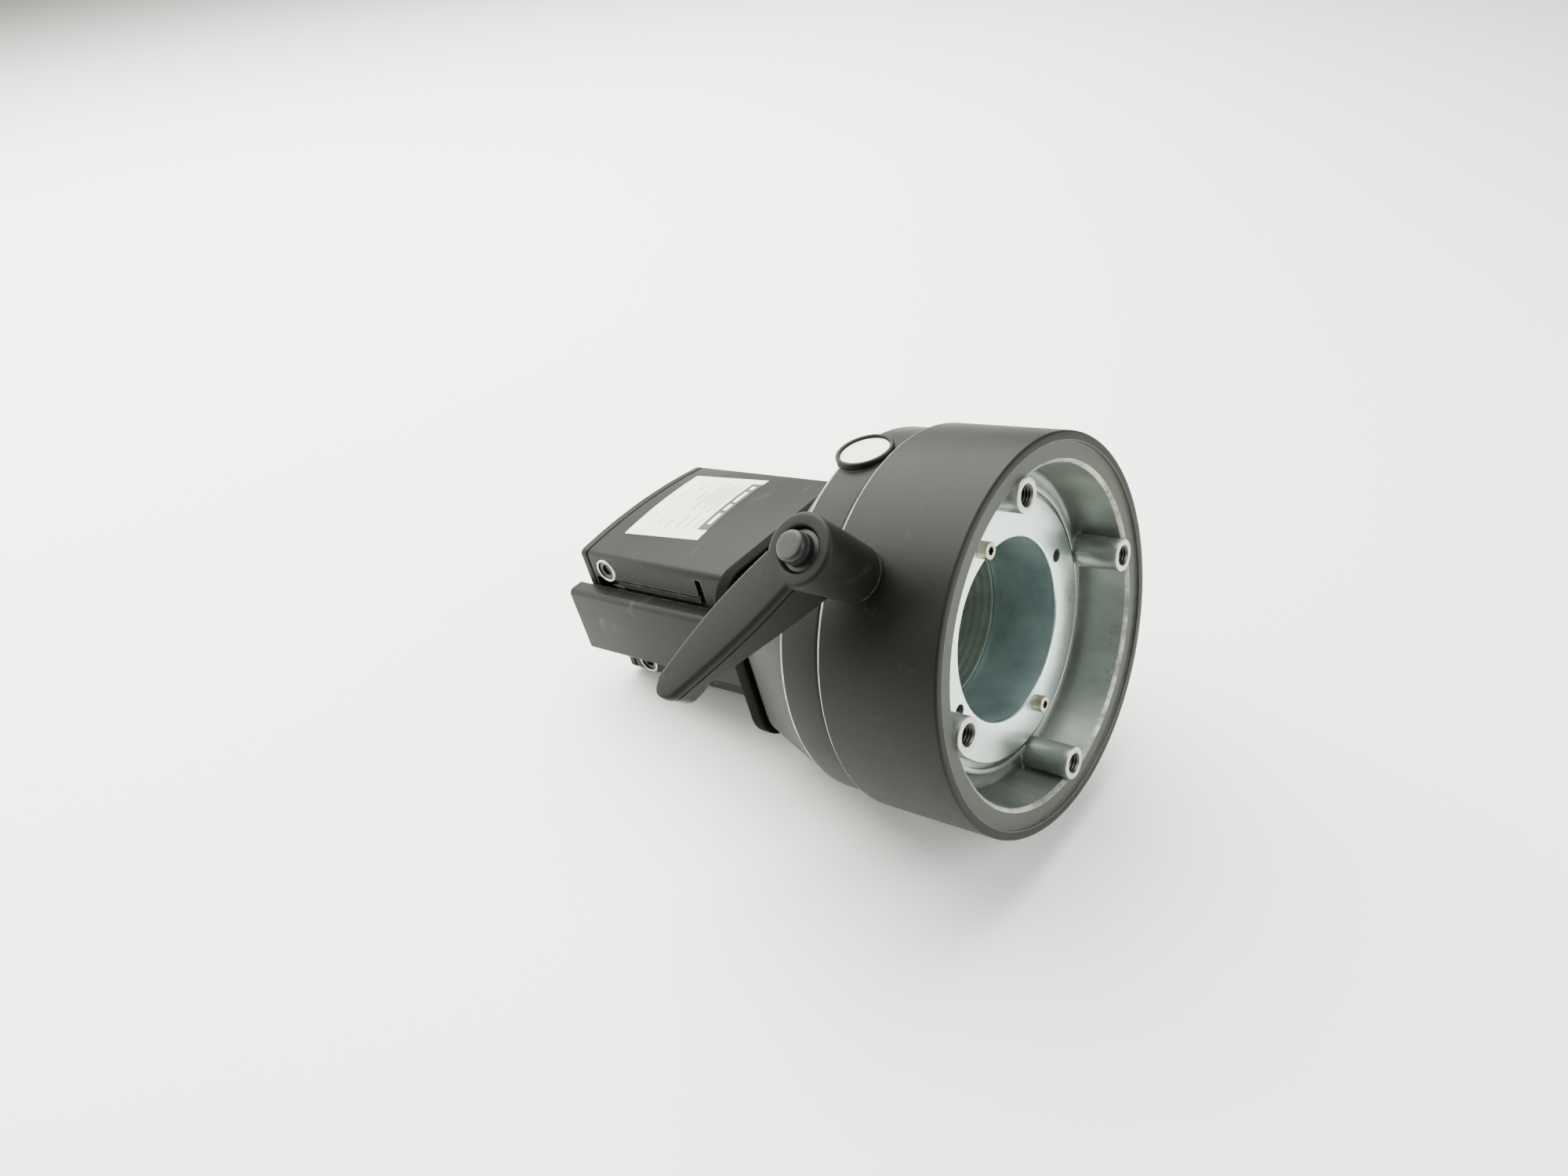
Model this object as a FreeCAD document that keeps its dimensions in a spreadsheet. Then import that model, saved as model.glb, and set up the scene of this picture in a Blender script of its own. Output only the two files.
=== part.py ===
import FreeCAD, Part
import math
import os
import re

import Sketcher

# Swivel coupling for a suspended operator panel. A round die-cast drum carries the
# enclosure on four tapped bosses and turns on the spigot of a neck casting; behind
# the neck a rectangular housing takes the end of the support arm. A push-button
# clamping lever on the drum presses a brake shoe on the spigot.
#
# Frame: +X runs along the swivel axis and out of the open face of the drum, +Z up,
# origin on the swivel axis in the plane of the four boss faces. Millimetres.
# "reach" in a name is a distance from the swivel axis, "at" a place along X.

SIZES = {
    # drum
    "drum_radius": 75.0, "drum_rear_at": -50.5, "drum_rear_radius": 72.8,
    "drum_chamfer_at": -48.0, "lip_inner_radius": 71.3, "lip_height": 1.2,
    "mouth_radius": 63.4, "mouth_chamfer": 1.4, "wall_foot_radius": 62.4,
    "pocket_floor_at": -24.0, "seat_ring_radius": 55.5, "seat_ring_at": -18.4,
    "seat_radius": 52.9, "seat_floor_at": -20.9, "hub_bore_radius": 46.55,
    "hub_radius": 51.5, "channel_floor_at": -27.5, "channel_radius": 69.0,
    "rear_rim_at": -46.0, "rear_rim_radius": 64.0, "skirt_end_at": -64.5,
    "stop_slot_at": -57.4, "stop_slot_angle": 304.0,
    # enclosure bosses
    "bolt_circle_radius": 59.0, "boss_radius": 6.4, "tapped_radius": 3.4,
    "tapped_depth": 16.0, "boss_foot_width": 15.0,
    "boss_foot_at": -18.4,
    # spigot, bearings and seals
    "spigot_radius": 45.0, "spigot_end_at": -20.0, "bearing_radius": 46.5,
    "bearing_length": 5.5, "front_bearing_at": -27.0, "rear_bearing_at": -50.2,
    "friction_ring_inner": 45.2, "friction_ring_outer": 50.0, "friction_ring_thickness": 0.8,
    "thrust_ring_inner": 64.1, "thrust_ring_outer": 67.9, "thrust_ring_at": -50.65,
    "thrust_ring_thickness": 1.6,
    "seal_radius": 70.0, "seal_cord_radius": 1.3, "seal_at": -52.0,
    # flanged sleeve
    "sleeve_bore_radius": 34.9, "sleeve_radius": 36.9, "sleeve_end_at": -45.7,
    "flange_radius": 50.5, "flange_front_at": -17.5, "flange_hole_circle": 40.3,
    "flange_hole_radius": 2.6, "flange_hole_angle": 101.0, "flange_edge": 0.9,
    "flange_rim_edge": 0.4,
    # neck casting
    "ring_front_at": -50.8, "ring_radius": 72.5, "ring_rear_at": -68.0, "ring_edge": 0.6,
    "skirt_groove_radius": 52.0, "skirt_groove_at": -66.0, "spigot_bore_radius": 37.1,
    "neck_bore_radius": 33.5, "spigot_shoulder_at": -46.0, "neck_bore_end_at": -88.0,
    "cable_bore_radius": 23.0, "neck_root_radius": 71.6, "neck_end_at": -101.0,
    "neck_end_half_width": 55.0, "neck_end_half_height": 37.5, "neck_corner": 15.0,
    "neck_land_inset": 3.0, "neck_rear_at": -104.5,
    # plug and stop screw in the pad on the ring
    "plug_at": -61.9, "plug_angle": 93.5, "pad_radius": 11.1, "pad_reach": 74.5,
    "plug_radius": 9.6, "plug_seat_reach": 71.9, "plug_top_reach": 73.5,
    "pad_foot_reach": 62.0, "plug_stem_reach": 70.0, "plug_stem_length": 2.4,
    "stop_bore_radius": 4.0, "stop_bore_foot_reach": 50.0, "stop_screw_tip_reach": 48.6,
    "stop_tip_radius": 2.75, "stop_tip_length": 6.0, "stop_thread_reach": 53.5,
    "stop_thread_length": 14.0, "stop_socket_depth": 4.0,
    # gasket
    "gasket_rear_at": -111.0, "gasket_half_width": 55.0, "gasket_half_height": 37.8,
    "gasket_corner": 13.0, "gasket_hole_radius": 25.0, "gasket_edge": 1.2,
    # tube housing
    "housing_rear_at": -200.4, "frame_front_at": -201.0, "frame_rear_at": -205.2,
    "housing_half_width": 40.3, "lower_half_width": 36.2, "step_height": -16.4,
    "housing_top_edge": 31.6, "housing_low_edge": -34.0, "crown": 2.8,
    "housing_edge": 3.2, "tube_half_width": 33.6, "tube_half_height": 20.5,
    "tube_stop_at": -126.0, "frame_opening_play": 0.4,
    "side_slot_at": -134.2, "side_slot_width": 3.2, "side_slot_depth": 3.2,
    "side_slot_low": 16.0, "side_slot_high": 27.6,
    "screw_pocket_front_at": -185.2, "screw_pocket_rear_at": -199.4,
    "screw_pocket_high": 19.6, "screw_pocket_depth": 5.0,
    "low_groove_high": 16.4, "low_groove_depth": 1.6,
    "high_groove_low": 18.6, "high_groove_depth": 0.8,
    # side covers
    "cover_rear_at": -213.6, "cover_front_at": -111.6, "cover_top": 14.4,
    "cover_bottom": -17.2, "cover_thickness": 7.6, "cover_top_round": 2.4,
    "cover_low_round": 1.6,
    # clamp screws of the support arm
    "clamp_screw_at": -191.6, "upper_screw_height": 23.2, "lower_screw_height": -28.4,
    "clamp_head_radius": 5.7, "clamp_head_depth": 2.4, "clamp_shank_radius": 3.0,
    "clamp_shank_length": 16.0, "clamp_socket": 5.0,
    # joint screws between housing and neck
    "joint_screw_y": 26.8, "joint_screw_z": 13.4, "joint_head_radius": 6.4,
    "joint_head_height": 8.0, "joint_shank_radius": 4.0, "joint_clearance_radius": 4.3,
    "joint_washer_radius": 6.6, "joint_washer_thickness": 1.4, "joint_thread_depth": 13.0,
    "joint_screw_length": 36.0,
    # rating label
    "label_length": 42.0, "label_width": 53.6, "label_at": -171.5, "label_centre": 3.7,
    "label_turn": 4.4, "label_thickness": 0.25,
    # clamping lever: one radial axis
    "lever_at": -36.0, "lever_angle": 134.5, "arm_turn": -127.6,
    "shoe_radius": 8.0, "shoe_bore_radius": 8.1, "shoe_tip_reach": 45.3,
    "shoe_top_reach": 51.9, "lug_radius": 11.4, "lug_foot_reach": 49.0,
    "lug_top_reach": 72.0, "shoe_bore_foot_reach": 44.0, "bush_radius": 9.0,
    "bush_low_reach": 58.0, "bush_top_reach": 74.3, "stud_radius": 5.0,
    "stud_bore_radius": 5.1, "stud_tip_reach": 52.0, "stud_collar_reach": 75.6,
    "stud_collar_radius": 9.4, "stud_head_reach": 77.0, "stud_head_radius": 6.9,
    "stud_top_reach": 90.0, "stud_teeth": 24.0, "tooth_depth": 0.6,
    "hub_low_reach": 77.2, "hub_low_radius": 10.3, "hub_face_reach": 109.1,
    "hub_face_radius": 12.7, "hub_socket_radius": 7.1, "hub_ledge_reach": 97.0,
    "button_bore_radius": 7.5, "arm_half_width": 7.3, "arm_tip_half_width": 6.0,
    "arm_tip_centre": 63.8, "arm_root_reach": 88.0, "arm_mid_reach": 94.5,
    "arm_mid_along": 34.0, "arm_tip_reach": 97.6, "arm_wall": 2.6,
    "button_radius": 7.3, "button_low_reach": 101.4, "button_shoulder_reach": 109.6,
    "button_face_radius": 5.7, "button_face_reach": 114.1, "button_bore": 5.6,
    "button_roof_reach": 110.6, "retainer_head_radius": 4.4,
    "retainer_head_height": 2.6, "retainer_radius": 2.5, "retainer_length": 12.0,
    "retainer_washer_radius": 6.6, "retainer_washer_thickness": 1.0,
    "spring_radius": 4.9, "spring_wire_radius": 0.42, "spring_pitch": 2.7,
    "spring_turns": 5.5, "spring_gap": 0.9,
    # small screws
    "small_head_radius": 3.5, "small_head_height": 4.0, "small_socket": 3.0,
    "small_shank_radius": 2.0, "small_shank_length": 11.0,
    # lengths of cutting shapes that run out of the metal
    "outside_reach": 80.0, "past_side": 20.0, "past_spigot": 40.0,
}

doc = FreeCAD.newDocument("swivel_coupling")
sheet = doc.addObject("Spreadsheet::Sheet", "Sizes")
for row, (alias, value) in enumerate(SIZES.items(), start=1):
    cell = "A%d" % row
    sheet.set(cell, str(value))
    sheet.setAlias(cell, alias)
doc.recompute()

NODES = {}


def bound(text):
    """Put the sheet's name before each alias in an expression."""
    return re.sub(r"[a-z][a-z_]*[a-z]", lambda m: "Sizes." + m.group(0)
                  if m.group(0) in SIZES else m.group(0), text)


def bind(thing, **expressions):
    """Bind properties of a document object to expressions of sheet aliases."""
    for name, text in expressions.items():
        thing.setExpression(name.replace("__", "."), bound(text))


def node(label, thing):
    """Name a finished sub-part; the label is also its file name."""
    thing.Label = label
    NODES[label] = thing
    return thing


# ---------------------------------------------------------------- sketch helpers
def new_body(label):
    body = doc.addObject("PartDesign::Body", label + "_body")
    return node(label, body)


def new_sketch(body, plane, offset=None):
    """A sketch on one of the body's own origin planes, moved along its normal."""
    sketch = body.newObject("Sketcher::SketchObject", body.Label + "_sketch")
    origin_plane = [f for f in body.Origin.OriginFeatures if f.Role == plane][0]
    sketch.AttachmentSupport = [(origin_plane, "")]
    sketch.MapMode = "FlatFace"
    if offset:
        sketch.setExpression("AttachmentOffset.Base.z", bound(offset))
    return sketch


def pin(sketch, kind, geometry, position, text):
    """Fix one coordinate of a point, measured from the sketch's origin."""
    if text == "0":
        axis = -2 if kind == "DistanceX" else -1
        sketch.addConstraint(Sketcher.Constraint("PointOnObject", geometry, position, axis))
        return
    point = sketch.getPoint(geometry, position)
    start = point.x if kind == "DistanceX" else point.y
    index = sketch.addConstraint(Sketcher.Constraint(kind, -1, 1, geometry, position, start))
    sketch.setExpression("Constraints[%d]" % index, bound(text))


def polygon(sketch, points):
    """A closed outline whose corners are pairs of expressions."""
    first = sketch.GeometryCount
    count = len(points)
    turn = 2.0 * math.pi / count
    guess = [FreeCAD.Vector(40 * math.cos(turn * i), 40 * math.sin(turn * i), 0)
             for i in range(count)]
    for i in range(count):
        sketch.addGeometry(Part.LineSegment(guess[i], guess[(i + 1) % count]), False)
    for i in range(count):
        after = first + (i + 1) % count
        sketch.addConstraint(Sketcher.Constraint("Coincident", first + i, 2, after, 1))
    for i, (across, up) in enumerate(points):
        pin(sketch, "DistanceX", first + i, 1, across)
        pin(sketch, "DistanceY", first + i, 1, up)


def circle(sketch, across, up, radius):
    start = Part.Circle(FreeCAD.Vector(1, 1, 0), FreeCAD.Vector(0, 0, 1), 5)
    index = sketch.addGeometry(start, False)
    pin(sketch, "DistanceX", index, 3, across)
    pin(sketch, "DistanceY", index, 3, up)
    size = sketch.addConstraint(Sketcher.Constraint("Radius", index, 5.0))
    sketch.setExpression("Constraints[%d]" % size, bound(radius))


def rectangle(sketch, left, low, right, high):
    polygon(sketch, [(left, low), (right, low), (right, high), (left, high)])


def revolve(body, *outlines, plane="XZ_Plane", axis="H_Axis", kind="Revolution", angle="360"):
    sketch = new_sketch(body, plane)
    for points in outlines:
        polygon(sketch, points)
    feature = body.newObject("PartDesign::" + kind, body.Label + "_turn")
    feature.Profile = sketch
    feature.ReferenceAxis = (sketch, [axis])
    feature.setExpression("Angle", bound(angle))
    return feature


def extrude(body, sketch, length, kind="Pad", backwards=False, both=False):
    feature = body.newObject("PartDesign::" + kind, body.Label + "_" + kind.lower())
    feature.Profile = sketch
    feature.Reversed = backwards
    feature.Midplane = both
    feature.setExpression("Length", bound(length))
    return feature


def around_x(body, feature, count):
    """Repeat a feature evenly about the swivel axis."""
    pattern = body.newObject("PartDesign::PolarPattern", body.Label + "_pattern")
    pattern.Originals = [feature]
    x_axis = [f for f in body.Origin.OriginFeatures if f.Role == "X_Axis"][0]
    pattern.Axis = (x_axis, [""])
    pattern.Angle = 360
    pattern.Occurrences = count
    body.Tip = pattern
    return pattern


def radial_frame(at, angle, turn=0.0):
    """A frame on the swivel axis whose z axis points out of it at an angle from +Y."""
    tilt = FreeCAD.Rotation(FreeCAD.Vector(1, 0, 0), angle - 90.0)
    spin = FreeCAD.Rotation(FreeCAD.Vector(0, 0, 1), turn)
    return FreeCAD.Placement(FreeCAD.Vector(at, 0, 0), tilt.multiply(spin))


def radial_cylinder(body, kind, frame, radius, low, high):
    """Add or cut a cylinder whose axis is radial, between two reaches."""
    feature = body.newObject("PartDesign::%sCylinder" % kind, body.Label + "_radial")
    bind(feature, Radius=radius, Height="%s - (%s)" % (high, low))
    shift = FreeCAD.Placement(FreeCAD.Vector(0, 0, reach(low)), FreeCAD.Rotation())
    feature.Placement = frame.multiply(shift)
    return feature


def reach(text):
    """The number behind one alias, or a plain number."""
    return SIZES[text] if text in SIZES else float(text)


def edges_where(shape, test):
    return ["Edge%d" % (i + 1) for i, edge in enumerate(shape.Edges) if test(edge)]


def soften(body, test, size, kind="Fillet"):
    """Fillet or chamfer the edges of the body's tip that pass a test."""
    doc.recompute()
    base = body.Tip
    names = edges_where(base.Shape, test)
    if not names:
        raise RuntimeError("no edge to soften on " + body.Label)
    feature = body.newObject("PartDesign::" + kind, body.Label + "_" + kind.lower())
    feature.Base = (base, names)
    feature.setExpression("Radius" if kind == "Fillet" else "Size", bound(size))
    body.Tip = feature
    return feature


def is_circle(edge, radius, at=None, axis="x"):
    """True for a circular edge of one radius, at one place along an axis."""
    curve = edge.Curve
    if not hasattr(curve, "Radius") or abs(curve.Radius - radius) > 0.01:
        return False
    return at is None or abs(getattr(curve.Center, axis) - at) < 0.01


def runs_along(edge, axis, length):
    """True for a straight edge along an axis, at least as long as given."""
    if edge.Length < length or not isinstance(edge.Curve, Part.Line):
        return False
    return abs(getattr(edge.tangentAt(edge.FirstParameter), axis)) > 0.999


def cylinder(label, radius, height, frame, low="0"):
    """A plain Part cylinder along the z axis of a frame."""
    shape = doc.addObject("Part::Cylinder", label)
    bind(shape, Radius=radius, Height=height)
    shift = FreeCAD.Placement(FreeCAD.Vector(0, 0, reach(low)), FreeCAD.Rotation())
    shape.Placement = frame.multiply(shift)
    return shape


def fuse(label, *shapes):
    result = doc.addObject("Part::MultiFuse", label)
    result.Shapes = list(shapes)
    return result


def cut(label, base, tool):
    result = doc.addObject("Part::Cut", label)
    result.Base = base
    result.Tool = tool
    return result


def cap_screw(label, frame, head_radius, head_height, shank_radius, shank_length, flats):
    """A socket-head screw whose head stands on z = 0 and whose shank runs down."""
    head = cylinder(label + "_head", head_radius, head_height, frame)
    shank = cylinder(label + "_shank", shank_radius, shank_length + " + 0.5",
                     frame.multiply(FreeCAD.Placement(
                         FreeCAD.Vector(0, 0, -SIZES[shank_length]), FreeCAD.Rotation())))
    socket = doc.addObject("Part::Prism", label + "_socket")
    socket.Polygon = 6
    bind(socket, Circumradius="%s / 2 / cos(30)" % flats, Height=head_height)
    lift = FreeCAD.Placement(FreeCAD.Vector(0, 0, 0.45 * SIZES[head_height]),
                             FreeCAD.Rotation())
    socket.Placement = frame.multiply(lift)
    return cut(label, fuse(label + "_blank", head, shank), socket)


def group(label, pieces):
    """Identical pieces share one sub-part, as separate solids."""
    result = doc.addObject("Part::Compound", label)
    result.Links = pieces
    return node(label, result)


def along_x(at, y, z, forward=True):
    """A frame whose z axis runs along +X, or along -X."""
    angle = 90 if forward else -90
    return FreeCAD.Placement(FreeCAD.Vector(at, y, z),
                             FreeCAD.Rotation(FreeCAD.Vector(0, 1, 0), angle))


# ---------------------------------------------------------------- drum side
LEVER = radial_frame(SIZES["lever_at"], SIZES["lever_angle"], SIZES["arm_turn"])
PLUG = radial_frame(SIZES["plug_at"], SIZES["plug_angle"])


def make_drum():
    body = new_body("drum_housing")
    revolve(body, [
        ("seat_floor_at", "hub_bore_radius"), ("skirt_end_at", "hub_bore_radius"),
        ("skirt_end_at", "hub_radius"), ("channel_floor_at", "hub_radius"),
        ("channel_floor_at", "channel_radius"), ("rear_rim_at", "channel_radius"),
        ("rear_rim_at", "rear_rim_radius"), ("drum_rear_at", "rear_rim_radius"),
        ("drum_rear_at", "drum_rear_radius"), ("drum_chamfer_at", "drum_radius"),
        ("0", "drum_radius"), ("0", "lip_inner_radius"),
        ("-lip_height", "lip_inner_radius"),
        ("-lip_height", "mouth_radius + mouth_chamfer"),
        ("-lip_height - mouth_chamfer", "mouth_radius"),
        ("pocket_floor_at", "wall_foot_radius"), ("pocket_floor_at", "seat_ring_radius"),
        ("seat_ring_at", "seat_ring_radius"), ("seat_ring_at", "seat_radius"),
        ("seat_floor_at", "seat_radius")])

    # each boss stands on a raised foot that joins the seat ring to the wall
    sketch = new_sketch(body, "YZ_Plane", "channel_floor_at + 1")
    rectangle(sketch, "-boss_foot_width / 2", "seat_radius + 0.8",
              "boss_foot_width / 2", "wall_foot_radius + 2")
    foot = extrude(body, sketch, "boss_foot_at - channel_floor_at - 1")
    around_x(body, foot, 4)
    sketch = new_sketch(body, "YZ_Plane", "channel_floor_at + 1")
    circle(sketch, "0", "bolt_circle_radius", "boss_radius")
    boss = extrude(body, sketch, "-channel_floor_at - 1")
    around_x(body, boss, 4)
    sketch = new_sketch(body, "YZ_Plane")
    circle(sketch, "0", "bolt_circle_radius", "tapped_radius")
    hole = extrude(body, sketch, "tapped_depth", kind="Pocket")
    around_x(body, hole, 4)

    # the lug of the brake shoe and its threaded bush, on the lever's axis
    radial_cylinder(body, "Additive", LEVER, "lug_radius", "lug_foot_reach",
                    "lug_top_reach")
    radial_cylinder(body, "Subtractive", LEVER, "shoe_bore_radius", "shoe_bore_foot_reach",
                    "bush_low_reach")
    radial_cylinder(body, "Subtractive", LEVER, "bush_radius", "bush_low_reach",
                    "outside_reach")

    # the skirt's arc slot: its ends meet the stop screw
    sketch = new_sketch(body, "XZ_Plane")
    rectangle(sketch, "skirt_end_at - 1", "hub_bore_radius - 1",
              "stop_slot_at", "hub_radius + 1")
    slot = body.newObject("PartDesign::Groove", "drum_stop_slot")
    slot.Profile = sketch
    slot.ReferenceAxis = (sketch, ["H_Axis"])
    slot.Midplane = True
    slot.setExpression("Angle", bound("stop_slot_angle"))


def make_clamp_bush():
    blank = cylinder("bush_blank", "bush_radius", "bush_top_reach - bush_low_reach",
                     LEVER, "bush_low_reach")
    bore = cylinder("bush_bore", "stud_bore_radius", "bush_top_reach", LEVER)
    node("clamp_bush", cut("bush", blank, bore))


def make_brake_shoe():
    """A round brass block; its tip is hollowed to the spigot's radius."""
    blank = cylinder("shoe_blank", "shoe_radius", "shoe_top_reach - shoe_tip_reach + 2",
                     LEVER.multiply(FreeCAD.Placement(
                         FreeCAD.Vector(0, 0, SIZES["shoe_tip_reach"] - 2),
                         FreeCAD.Rotation())))
    spigot = cylinder("shoe_hollow", "shoe_tip_reach", "past_spigot",
                      along_x(SIZES["lever_at"] - SIZES["past_spigot"] / 2, 0, 0))
    node("brake_shoe", cut("shoe", blank, spigot))


# ---------------------------------------------------------------- arm side
def make_neck():
    body = new_body("neck_casting")
    revolve(body, [
        ("spigot_end_at", "spigot_bore_radius"), ("spigot_end_at", "spigot_radius"),
        ("skirt_groove_at", "spigot_radius"), ("skirt_groove_at", "skirt_groove_radius"),
        ("ring_front_at", "skirt_groove_radius"), ("ring_front_at", "ring_radius - ring_edge"),
        ("ring_front_at - ring_edge", "ring_radius"), ("ring_rear_at", "ring_radius"),
        ("ring_rear_at", "neck_bore_radius"), ("spigot_shoulder_at", "neck_bore_radius"),
        ("spigot_shoulder_at", "spigot_bore_radius")])

    # the flare from the round ring to the rounded rectangle of the gasket face
    round_end = new_sketch(body, "YZ_Plane", "ring_rear_at")
    circle(round_end, "0", "0", "neck_root_radius")
    square_end = new_sketch(body, "YZ_Plane", "neck_end_at")
    rounded_rectangle(square_end, "neck_end_half_width", "neck_end_half_height",
                      "neck_corner")
    flare = body.newObject("PartDesign::AdditiveLoft", "neck_flare")
    flare.Profile = round_end
    flare.Sections = [square_end]
    flare.Ruled = True
    land = new_sketch(body, "YZ_Plane", "neck_rear_at")
    rounded_rectangle(land, "neck_end_half_width - neck_land_inset",
                      "neck_end_half_height - neck_land_inset",
                      "neck_corner - neck_land_inset")
    extrude(body, land, "neck_end_at - neck_rear_at")

    # bores: wide behind the sleeve, narrower where the joint screws need metal
    wide = new_sketch(body, "YZ_Plane", "ring_rear_at")
    circle(wide, "0", "0", "neck_bore_radius")
    extrude(body, wide, "ring_rear_at - neck_bore_end_at", "Pocket")
    narrow = new_sketch(body, "YZ_Plane", "ring_rear_at")
    circle(narrow, "0", "0", "cable_bore_radius")
    extrude(body, narrow, "ring_rear_at - neck_rear_at + 1", "Pocket")
    joint = new_sketch(body, "YZ_Plane", "neck_rear_at")
    for side in ("", "-"):
        for height in ("", "-"):
            circle(joint, side + "joint_screw_y", height + "joint_screw_z",
                   "joint_shank_radius")
    extrude(body, joint, "joint_thread_depth + 1", "Pocket", backwards=True)
    end_holes = new_sketch(body, "YZ_Plane", "spigot_end_at")
    for quarter in range(4):
        turn = "flange_hole_angle + %d" % (90 * quarter)
        circle(end_holes, "flange_hole_circle * cos(%s)" % turn,
               "flange_hole_circle * sin(%s)" % turn, "small_shank_radius")
    extrude(body, end_holes, "small_shank_length", "Pocket")

    # the pad with the plug's recess and the stop screw's tapped hole
    radial_cylinder(body, "Additive", PLUG, "pad_radius", "pad_foot_reach", "pad_reach")
    radial_cylinder(body, "Subtractive", PLUG, "plug_radius + 0.1", "plug_seat_reach",
                    "outside_reach")
    radial_cylinder(body, "Subtractive", PLUG, "stop_bore_radius", "stop_bore_foot_reach",
                    "outside_reach")

    # grooves in the ring's front face for the thrust ring and the seal
    ring_gap, seal_gap = "thrust_ring_at - thrust_ring_thickness", "seal_at - seal_cord_radius"
    inner, outer = "seal_radius - seal_cord_radius - 0.1", "seal_radius + seal_cord_radius + 0.1"
    revolve(body, [
        (ring_gap, "thrust_ring_inner - 0.1"), (ring_gap, "thrust_ring_outer + 0.1"),
        ("ring_front_at + 1", "thrust_ring_outer + 0.1"),
        ("ring_front_at + 1", "thrust_ring_inner - 0.1")],
        [(seal_gap, inner), (seal_gap, outer), ("ring_front_at + 1", outer),
         ("ring_front_at + 1", inner)], kind="Groove")


def rounded_rectangle(sketch, half_width, half_height, corner):
    """A rectangle about the origin with round corners, all bound to the sheet."""
    first = sketch.GeometryCount
    vector = FreeCAD.Vector
    wide, high, bend = 30.0, 20.0, 5.0
    sides = [(vector(-wide + bend, -high, 0), vector(wide - bend, -high, 0)),
             (vector(wide, -high + bend, 0), vector(wide, high - bend, 0)),
             (vector(wide - bend, high, 0), vector(-wide + bend, high, 0)),
             (vector(-wide, high - bend, 0), vector(-wide, -high + bend, 0))]
    centres = [(wide - bend, -high + bend), (wide - bend, high - bend),
               (-wide + bend, high - bend), (-wide + bend, -high + bend)]
    for start, end in sides:
        sketch.addGeometry(Part.LineSegment(start, end), False)
    for i, (across, up) in enumerate(centres):
        round_edge = Part.Circle(vector(across, up, 0), vector(0, 0, 1), bend)
        start = math.radians(-90 + 90 * i)
        sketch.addGeometry(Part.ArcOfCircle(round_edge, start, start + math.pi / 2), False)
    for i in range(4):
        arc = first + 4 + i
        sketch.addConstraint(Sketcher.Constraint("Tangent", first + i, 2, arc, 1))
        sketch.addConstraint(Sketcher.Constraint("Tangent", arc, 2, first + (i + 1) % 4, 1))
    for i, straight in enumerate(("Horizontal", "Vertical", "Horizontal", "Vertical")):
        sketch.addConstraint(Sketcher.Constraint(straight, first + i))
    for i in range(1, 4):
        sketch.addConstraint(Sketcher.Constraint("Equal", first + 4, first + 4 + i))
    pin(sketch, "DistanceX", first + 1, 1, half_width)
    pin(sketch, "DistanceX", first + 3, 1, "-(%s)" % half_width)
    pin(sketch, "DistanceY", first + 2, 1, half_height)
    pin(sketch, "DistanceY", first, 1, "-(%s)" % half_height)
    size = sketch.addConstraint(Sketcher.Constraint("Radius", first + 4, bend))
    sketch.setExpression("Constraints[%d]" % size, bound(corner))


def ring_node(label, inner, outer, front, length):
    """A plain turned ring about the swivel axis, running back from its front face."""
    body = new_body(label)
    revolve(body, [("%s - %s" % (front, length), inner), ("%s - %s" % (front, length), outer),
                   (front, outer), (front, inner)])


def make_seal():
    torus = doc.addObject("Part::Torus", "seal_torus")
    bind(torus, Radius1="seal_radius", Radius2="seal_cord_radius")
    torus.Placement = along_x(SIZES["seal_at"], 0, 0)
    node("swivel_seal", torus)


def make_sleeve():
    body = new_body("flanged_sleeve")
    revolve(body, [("flange_front_at", "sleeve_bore_radius"),
                   ("flange_front_at", "flange_radius"), ("spigot_end_at", "flange_radius"),
                   ("spigot_end_at", "sleeve_radius"), ("sleeve_end_at", "sleeve_radius"),
                   ("sleeve_end_at", "sleeve_bore_radius")])
    holes = new_sketch(body, "YZ_Plane", "flange_front_at")
    for quarter in range(4):
        turn = "flange_hole_angle + %d" % (90 * quarter)
        radius = "small_shank_radius + 0.1" if quarter % 2 == 0 else "flange_hole_radius"
        circle(holes, "flange_hole_circle * cos(%s)" % turn,
               "flange_hole_circle * sin(%s)" % turn, radius)
    extrude(body, holes, "flange_front_at - spigot_end_at", "Pocket")
    soften(body, lambda e: is_circle(e, SIZES["sleeve_bore_radius"],
                                     SIZES["flange_front_at"]), "flange_edge")
    soften(body, lambda e: is_circle(e, SIZES["flange_radius"],
                                     SIZES["flange_front_at"]), "flange_rim_edge")


def make_sleeve_screws():
    screws = []
    for half in range(2):
        angle = math.radians(SIZES["flange_hole_angle"] + 180 * half)
        frame = along_x(SIZES["flange_front_at"], SIZES["flange_hole_circle"] * math.cos(angle),
                        SIZES["flange_hole_circle"] * math.sin(angle))
        screws.append(cap_screw("sleeve_screw_%d" % (half + 1), frame, "small_head_radius",
                                "small_head_height", "small_shank_radius",
                                "small_shank_length", "small_socket"))
    group("sleeve_screws", screws)


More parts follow.
